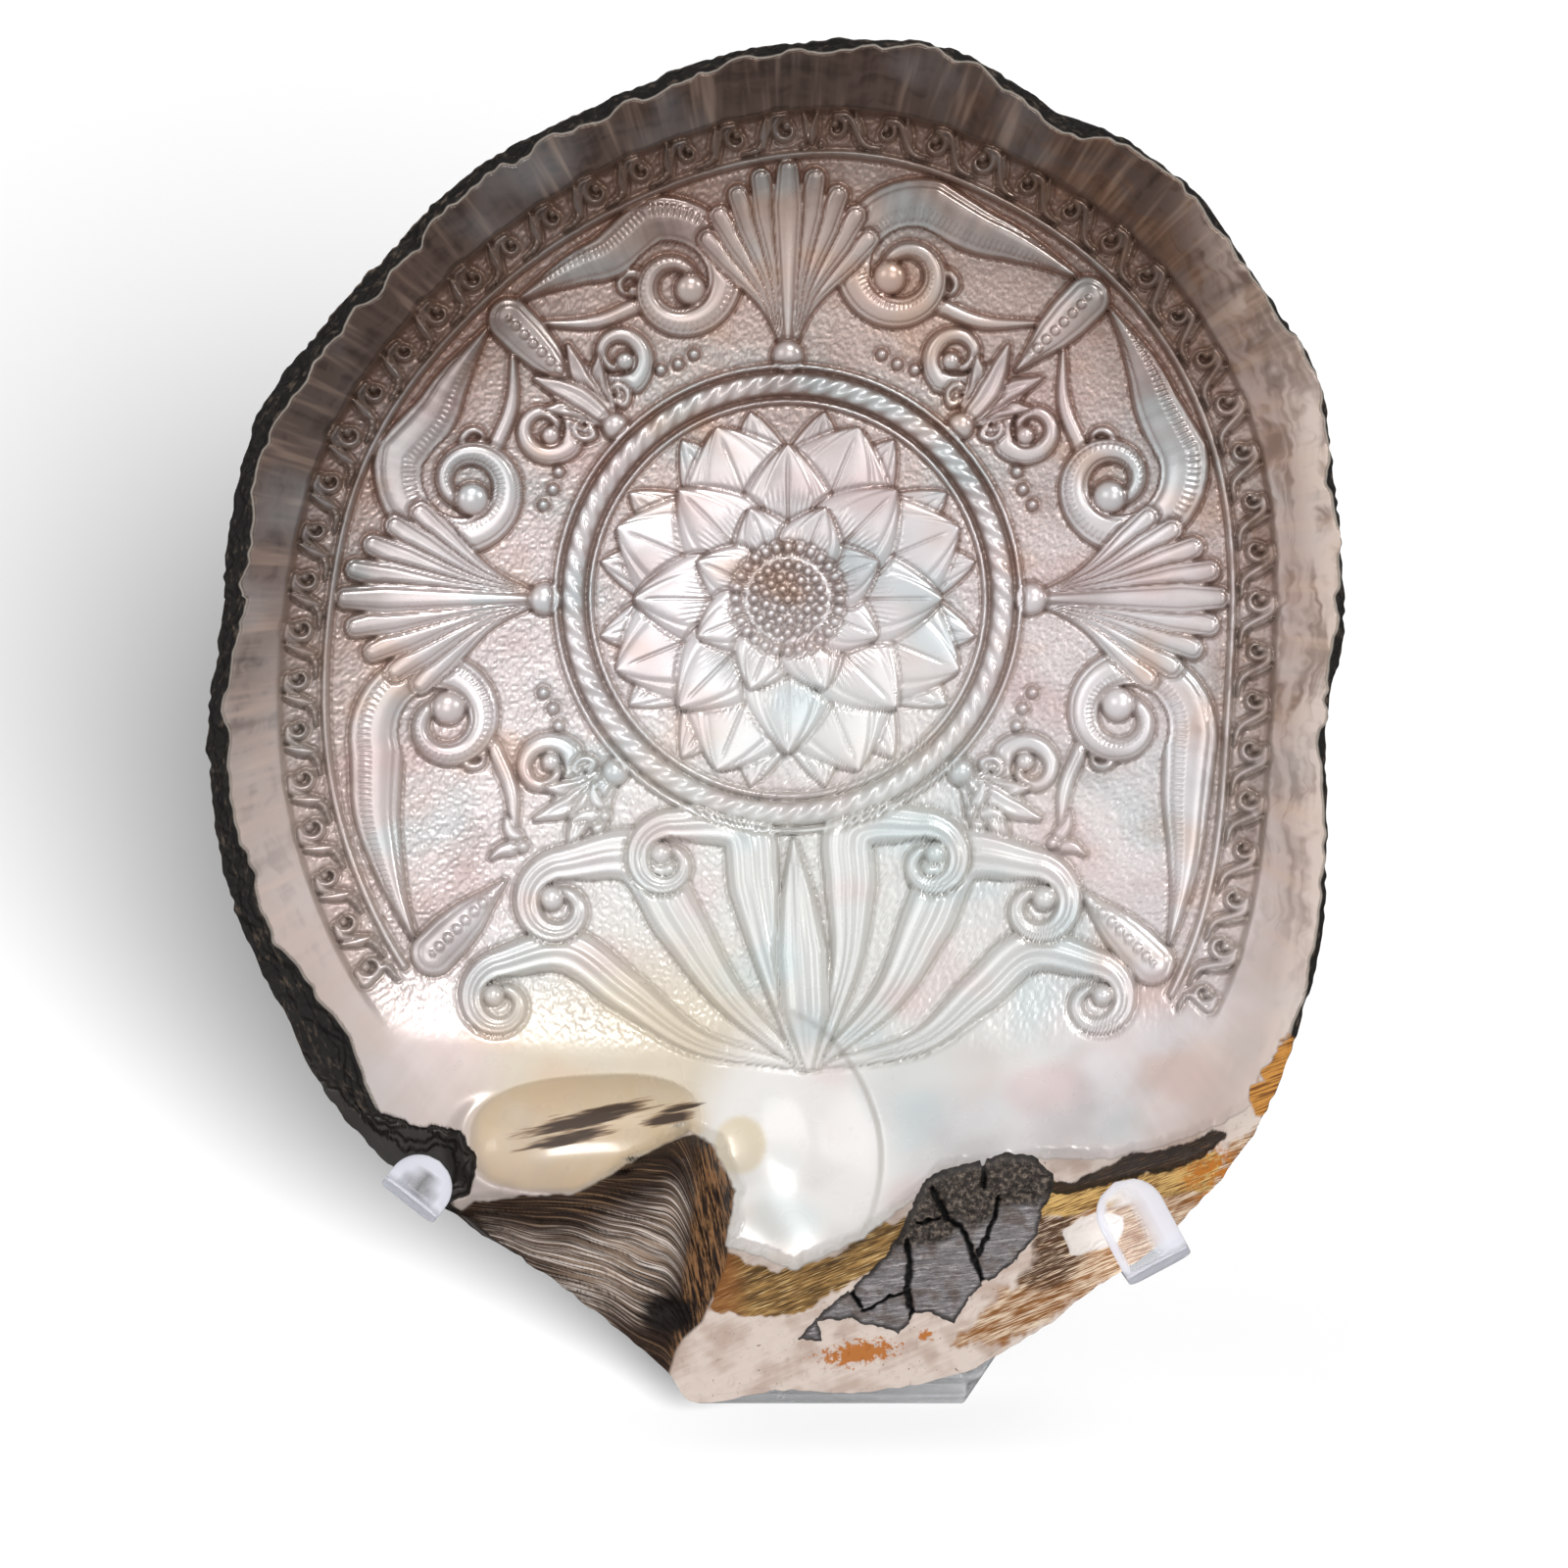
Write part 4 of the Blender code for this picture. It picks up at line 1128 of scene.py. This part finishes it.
def ligament_piece():
    lumps = 0.5 * noise(X / 2.2, Y / 2.2, 50) + 0.35 * noise(X / 0.8, Y / 0.8, 51)
    lumps = lumps + 0.2 * noise(X / 0.35, Y / 0.35, 52)
    tilt = Y + 76.0 - (X - 24.0) * 0.42 + 2.0 * noise(X / 3.0, Y / 3.0, 53)
    upper = smooth(-1.2, 1.2, tilt)
    bands = 0.12 * np.sin((Y - X * 0.10 + 0.5 * noise(X / 4.0, Y / 4.0, 54)) * 6.5)
    proud = (1.5 + lumps) * upper + (0.45 + bands + 0.15 * lumps) * (1.0 - upper)
    split = np.zeros_like(X)
    for path, width in CRACKS:
        area, _, side = follow(curve_through(path, 6), 1.6)
        wander = 0.25 * noise(X[area] / 0.8, Y[area] / 0.8, 55)
        split[area] = np.maximum(split[area], smooth(width * 1.5, width * 0.4, np.abs(side + wander)))
    height = HEIGHT + proud * smooth(-0.2, 0.9, horn) - 1.5 * split - 1.2 * smooth(0.1, -0.8, horn)
    height = np.minimum(height + 1.8 * smooth(0.5, 1.1, horn), FRONT_LIMIT)
    rows, columns = window(np.array(LIGAMENT), 1.0)
    keep = horn[rows, columns] > -0.8
    j, i = np.nonzero(keep[:-1, :-1] & keep[1:, :-1] & keep[:-1, 1:] & keep[1:, 1:])
    used, faces = cells(j * keep.shape[1] + i, keep.shape[1])
    x, y, z, *marks = (v[rows, columns].ravel()[used] for v in (X, Y, height, upper, split, horn))
    points = np.stack([x, y, z], axis=1)
    fields = {"plane": points, "horn": np.stack(marks, axis=1)}
    uv = np.stack([(x - 1.0) / 42.0, (y + 93.0) / 42.0], axis=1)
    return add_mesh("shell_ligament", points, faces, uv, None, fields)


def horn_material():
    material, surface = new_material("dried horn")
    x, y, _ = field_of("plane").parts()
    upper, split, inside = field_of("horn").parts()
    speck = grain_of(joined(x, y), 1.3, 5.0, 0.7)
    lines = grain_of(joined(x * 0.25, (y - x * 0.10 + speck) * 4.6), 1.0, 4.0, 0.7)
    patches = grain_of(joined(x + 50.0, y), 0.35)
    black = blend(rgb(46, 40, 37), rgb(138, 124, 112), speck.step(0.44, 0.72))
    tone = paint(
        rgb(112, 108, 110),
        ((176, 170, 170), lines.step(0.46, 0.66)),
        ((82, 76, 76), lines.step(0.48, 0.34) * 0.7),
        ((84, 68, 56), patches.step(0.48, 0.66) * 0.6),
        (black, upper),
        # Painted shade: the block darkens towards its outline, where it dips below the shell around it, and
        # its cracks are near black.
        ((30, 26, 24), inside.step(0.9, 0.2) * 0.8),
        ((14, 12, 12), split))
    set_surface(surface, Base_Color=tone, Roughness=0.5 + speck * 0.3, Specular_IOR_Level=0.35,
                Normal=bump(speck + lines * 0.5, 0.6))
    return material


ligament = ligament_piece()
ligament.data.materials.append(horn_material())
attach(ligament, "root")
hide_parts("hinge_ligament")

# The easel
# A small display stand of clear acrylic sheet: a plate behind the shell with two hooks bent round
# the margin, a brace and a base on the table.
ACRYLIC_IOR = 1.49
PLATE = [(-12.0, -93.8), (30.0, -93.8), (48.0, -64.0), (20.0, 22.0), (-12.0, 22.0), (-44.0, -58.0)]
PLATE_BACK, PLATE_FRONT = -30.9, -27.4
HOOK_BACK = -29.2


def clear_material():
    material, surface = new_material("clear acrylic")
    place = Shade.node("ShaderNodeTexCoord", out="Object")
    haze = grain_of(place, 60.0, 3.0)
    frost = field_of("frost").parts()[0]
    set_surface(surface, Base_Color=(0.97, 0.98, 1.0, 1.0), Roughness=0.02 + haze * 0.04, IOR=ACRYLIC_IOR,
                Transmission_Weight=1.0)
    sawn = {"Base Color": (0.78, 0.79, 0.86, 1.0), "Roughness": 0.45, "IOR": ACRYLIC_IOR,
            "Transmission Weight": 0.35}
    mix_surfaces(surface, Shade.node("ShaderNodeBsdfPrincipled", inputs=sawn), frost * 0.8)
    return material


acrylic = clear_material()


def sheet_piece(name, outline, low, high, rounding):
    """Flat sheet in the shell's plane with its cut edges rounded over."""
    bm = bmesh.new()
    floor = bm.faces.new([bm.verts.new((x, y, low)) for x, y in outline])
    top = bmesh.ops.extrude_face_region(bm, geom=[floor])
    raised = [v for v in top["geom"] if isinstance(v, bmesh.types.BMVert)]
    bmesh.ops.translate(bm, verts=raised, vec=(0.0, 0.0, high - low))
    bmesh.ops.bevel(bm, geom=bm.edges[:], offset=rounding, segments=3, profile=0.5, affect="EDGES")
    bmesh.ops.recalc_face_normals(bm, faces=bm.faces)
    bmesh.ops.triangulate(bm, faces=bm.faces)
    points = np.array([v.co[:] for v in bm.verts])
    faces = [[v.index for v in f.verts] for f in bm.faces]
    bm.free()
    cut_edge = np.abs(points[:, 2] - (low + high) / 2) < (high - low) / 2 - 0.2
    frost = np.stack([cut_edge.astype(float)] * 3, axis=1)
    piece = add_mesh(name, points, faces, fields={"frost": frost})
    piece.data.polygons.foreach_set("use_smooth", [False] * len(piece.data.polygons))
    return piece


def hook_piece(name, foot, out, reach, front, width, thick, rim, broad_rim):
    """Strip bent round the margin: an arm behind the shell, a web outside it, a tongue in front."""
    away = unit(out)
    beside = np.array([-away[1], away[0]])
    web = 0.6 + thick / 2
    bend = 1.2
    inner = web - bend
    line = [(-26.0, HOOK_BACK), (-12.0, HOOK_BACK), (inner, HOOK_BACK)]
    turn = np.linspace(0.2, math.pi / 2, 7)
    line += [(inner + bend * math.sin(t), HOOK_BACK + bend - bend * math.cos(t)) for t in turn]
    line += [(web, (HOOK_BACK + front) / 2), (web, front - bend)]
    line += [(inner + bend * math.cos(t), front - bend + bend * math.sin(t)) for t in turn]
    line += [(s, front) for s in np.linspace(inner - 0.6, -reach, 16)]
    line = np.array(line)
    along = np.gradient(line, axis=0)
    along = along / np.linalg.norm(along, axis=1)[:, None]
    to_tip = np.concatenate([[0.0], np.cumsum(np.hypot(*np.diff(line, axis=0).T))])
    to_tip = to_tip[-1] - to_tip
    half = width / 2
    tongue = np.sqrt(np.clip(half ** 2 - (half - to_tip) ** 2, 0.04, None))
    half_widths = np.where(to_tip < half, tongue, half)
    ring = np.linspace(0.0, 2 * math.pi, 33)[:-1]
    across = np.sign(np.cos(ring)) * np.abs(np.cos(ring)) ** 0.35
    deep = np.sign(np.sin(ring)) * np.abs(np.sin(ring)) ** 0.6
    points, frost = [], []
    for (px, pz), (dx, dz), w, left_over in zip(line, along, half_widths, to_tip):
        off = deep * thick / 2
        sx, sz = px - dz * off, pz + dx * off
        flat = np.array(foot) + sx[:, None] * away + (across * w)[:, None] * beside
        points.append(np.column_stack([flat, sz]))
        from_rim = half - np.hypot(max(half - left_over, 0.0), across * w)
        wide_rim = np.where(across > 0.0, broad_rim, rim)
        sawn = smooth(wide_rim + 0.3, wide_rim - 0.3, from_rim)
        on_tongue = smooth(inner + 1.0, inner - 1.0, px) * smooth(front - 2.5, front - 0.5, pz)
        frost.append(np.maximum(sawn * on_tongue, 0.5 * smooth(inner - 0.4, inner + 0.8, px)))
    count, last = len(ring), (len(line) - 1) * len(ring)
    points = np.concatenate(points)
    points = np.concatenate([points, [points[:count].mean(axis=0), points[last:].mean(axis=0)]])
    faces = [[k + i, k + (i + 1) % count, k + count + (i + 1) % count, k + count + i]
             for k in range(0, last, count) for i in range(count)]
    for i in range(count):
        n = (i + 1) % count
        faces += [[len(points) - 2, n, i], [len(points) - 1, last + i, last + n]]
    frost = np.concatenate(frost + [np.ones(2)])
    piece = add_mesh(name, points, faces, fields={"frost": np.repeat(frost, 3)})
    bm = bmesh.new()
    bm.from_mesh(piece.data)
    bmesh.ops.recalc_face_normals(bm, faces=bm.faces)
    bm.to_mesh(piece.data)
    bm.free()
    return piece


easel_pieces = [
    sheet_piece("easel_plate", PLATE, PLATE_BACK, PLATE_FRONT, 0.6),
    hook_piece("easel_hook_left", (-52.6, -69.2), 232.0, 6.0, 2.9, 9.6, 1.4, 2.1, 2.1),
    hook_piece("easel_hook_right", (55.6, -78.6), 298.0, 12.6, 4.9, 10.2, 1.4, 1.2, 3.6),
]
for piece in easel_pieces:
    piece.data.materials.append(acrylic)
    piece.visible_shadow = False
    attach(piece, "root")
    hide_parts("easel_back")
for name in ("easel_base", "easel_brace"):
    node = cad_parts[name]
    node.data.materials.clear()
    node.data.materials.append(acrylic)
    node.visible_shadow = False

# The table, the light and the camera
# A white table top runs to the edge of the view. Four soft lights stand in front of the shell; a low
# sun-like light reaches only the table and draws the shadow to the left.
def stage_plane(name, size, z):
    mesh = bpy.data.meshes.new(name)
    corners = [(-size, -size, z), (size, -size, z), (size, size, z), (-size, size, z)]
    mesh.from_pydata(corners, [], [(0, 1, 2, 3)])
    obj = placed(name, mesh)
    return obj


table = stage_plane("table_top", 30.0, 0.0)
table_material, table_surface = new_material("white table")
wear = grain_of(Shade.node("ShaderNodeTexCoord", out="Object"), 3.0)
set_surface(table_surface, Base_Color=(0.86, 0.86, 0.86, 1.0), Roughness=0.85 + wear * 0.1,
            Specular_IOR_Level=0.0, Emission_Color=(1.0, 1.0, 1.0, 1.0), Emission_Strength=0.05)
table.data.materials.append(table_material)
table.visible_glossy = False

AIM = (0.0, 0.0, 0.1)


def lamp(name, kind, energy, aim_along, **settings):
    """Light that shines along a direction."""
    light = bpy.data.lights.new(name, kind)
    light.energy = energy
    for key, value in settings.items():
        setattr(light, key, value)
    obj = placed(name, light)
    obj.rotation_euler = Vector(aim_along).to_track_quat("-Z", "Y").to_euler()
    return obj


def area_light(name, place, size, watts, color):
    obj = lamp(name, "AREA", watts, Vector(AIM) - Vector(place), shape="RECTANGLE", size=size[0],
               size_y=size[1], color=color)
    obj.location = place
    return obj


lamps = [area_light("key", (0.50, -1.55, 1.85), (0.6, 0.6), 27.0, (1.0, 0.99, 0.975)),
         area_light("front", (0.35, -2.3, 0.75), (1.1, 0.9), 8.0, (1.0, 1.0, 1.0)),
         area_light("left card", (-1.35, -1.8, 0.9), (0.9, 0.9), 5.0, (1.0, 1.0, 1.0)),
         area_light("rake", (1.5, -0.9, 0.9), (0.3, 0.3), 6.0, (1.0, 0.99, 0.97))]
low = lamp("low light over the table", "SUN", 11.0, (-0.118, 0.957, -0.267), angle=math.radians(14.0))
lit = bpy.data.collections.new("lit by the low light")
lit.objects.link(table)
low.light_linking.receiver_collection = lit
unlit = bpy.data.collections.new("left out by the other lights")
unlit.objects.link(table)
unlit.collection_objects[0].light_linking.link_state = "EXCLUDE"
for each in lamps:
    each.light_linking.receiver_collection = unlit

world = bpy.data.worlds.new("studio")
bpy.context.scene.world = world
world.use_nodes = True
Shade.tree = world.node_tree
toward_x, _, toward_z = Shade.node("ShaderNodeTexCoord", out="Generated").parts()
sky = blend((0.10, 0.095, 0.09, 1.0), (0.84, 0.84, 0.85, 1.0),
            (toward_z * 0.2 - toward_x * 0.9).step(-0.4, 0.8))
background = world.node_tree.nodes["Background"]
world.node_tree.links.new(sky.socket, background.inputs["Color"])
background.inputs["Strength"].default_value = 0.5

camera_data = bpy.data.cameras.new("camera")
camera = placed("camera", camera_data)
bpy.context.scene.camera = camera
DISTANCE = 1.5
SENSOR = 36.0
PIXELS_PER_MM = 6.97
PHOTO_WIDTH = 1600.0
PLANE_ORIGIN = (790.0, 735.0)  # pixel of the photo that shows the origin of the shell's plane
middle = PHOTO_WIDTH / 2
off_centre = [[(middle - PLANE_ORIGIN[0]) / PIXELS_PER_MM, (PLANE_ORIGIN[1] - middle) / PIXELS_PER_MM, 0.0]]
aim = in_place(np.array(off_centre))[0]
tilt = math.pi / 2 - LEAN
camera.location = (aim[0], aim[1] - DISTANCE * math.cos(tilt), aim[2] + DISTANCE * math.sin(tilt))
camera.rotation_euler = (math.pi / 2 - tilt, 0.0, 0.0)
camera_data.sensor_width = SENSOR
camera_data.lens = SENSOR * DISTANCE / (PHOTO_WIDTH / PIXELS_PER_MM * MM)
camera_data.clip_end = 100.0
bpy.context.scene.view_settings.view_transform = "Standard"
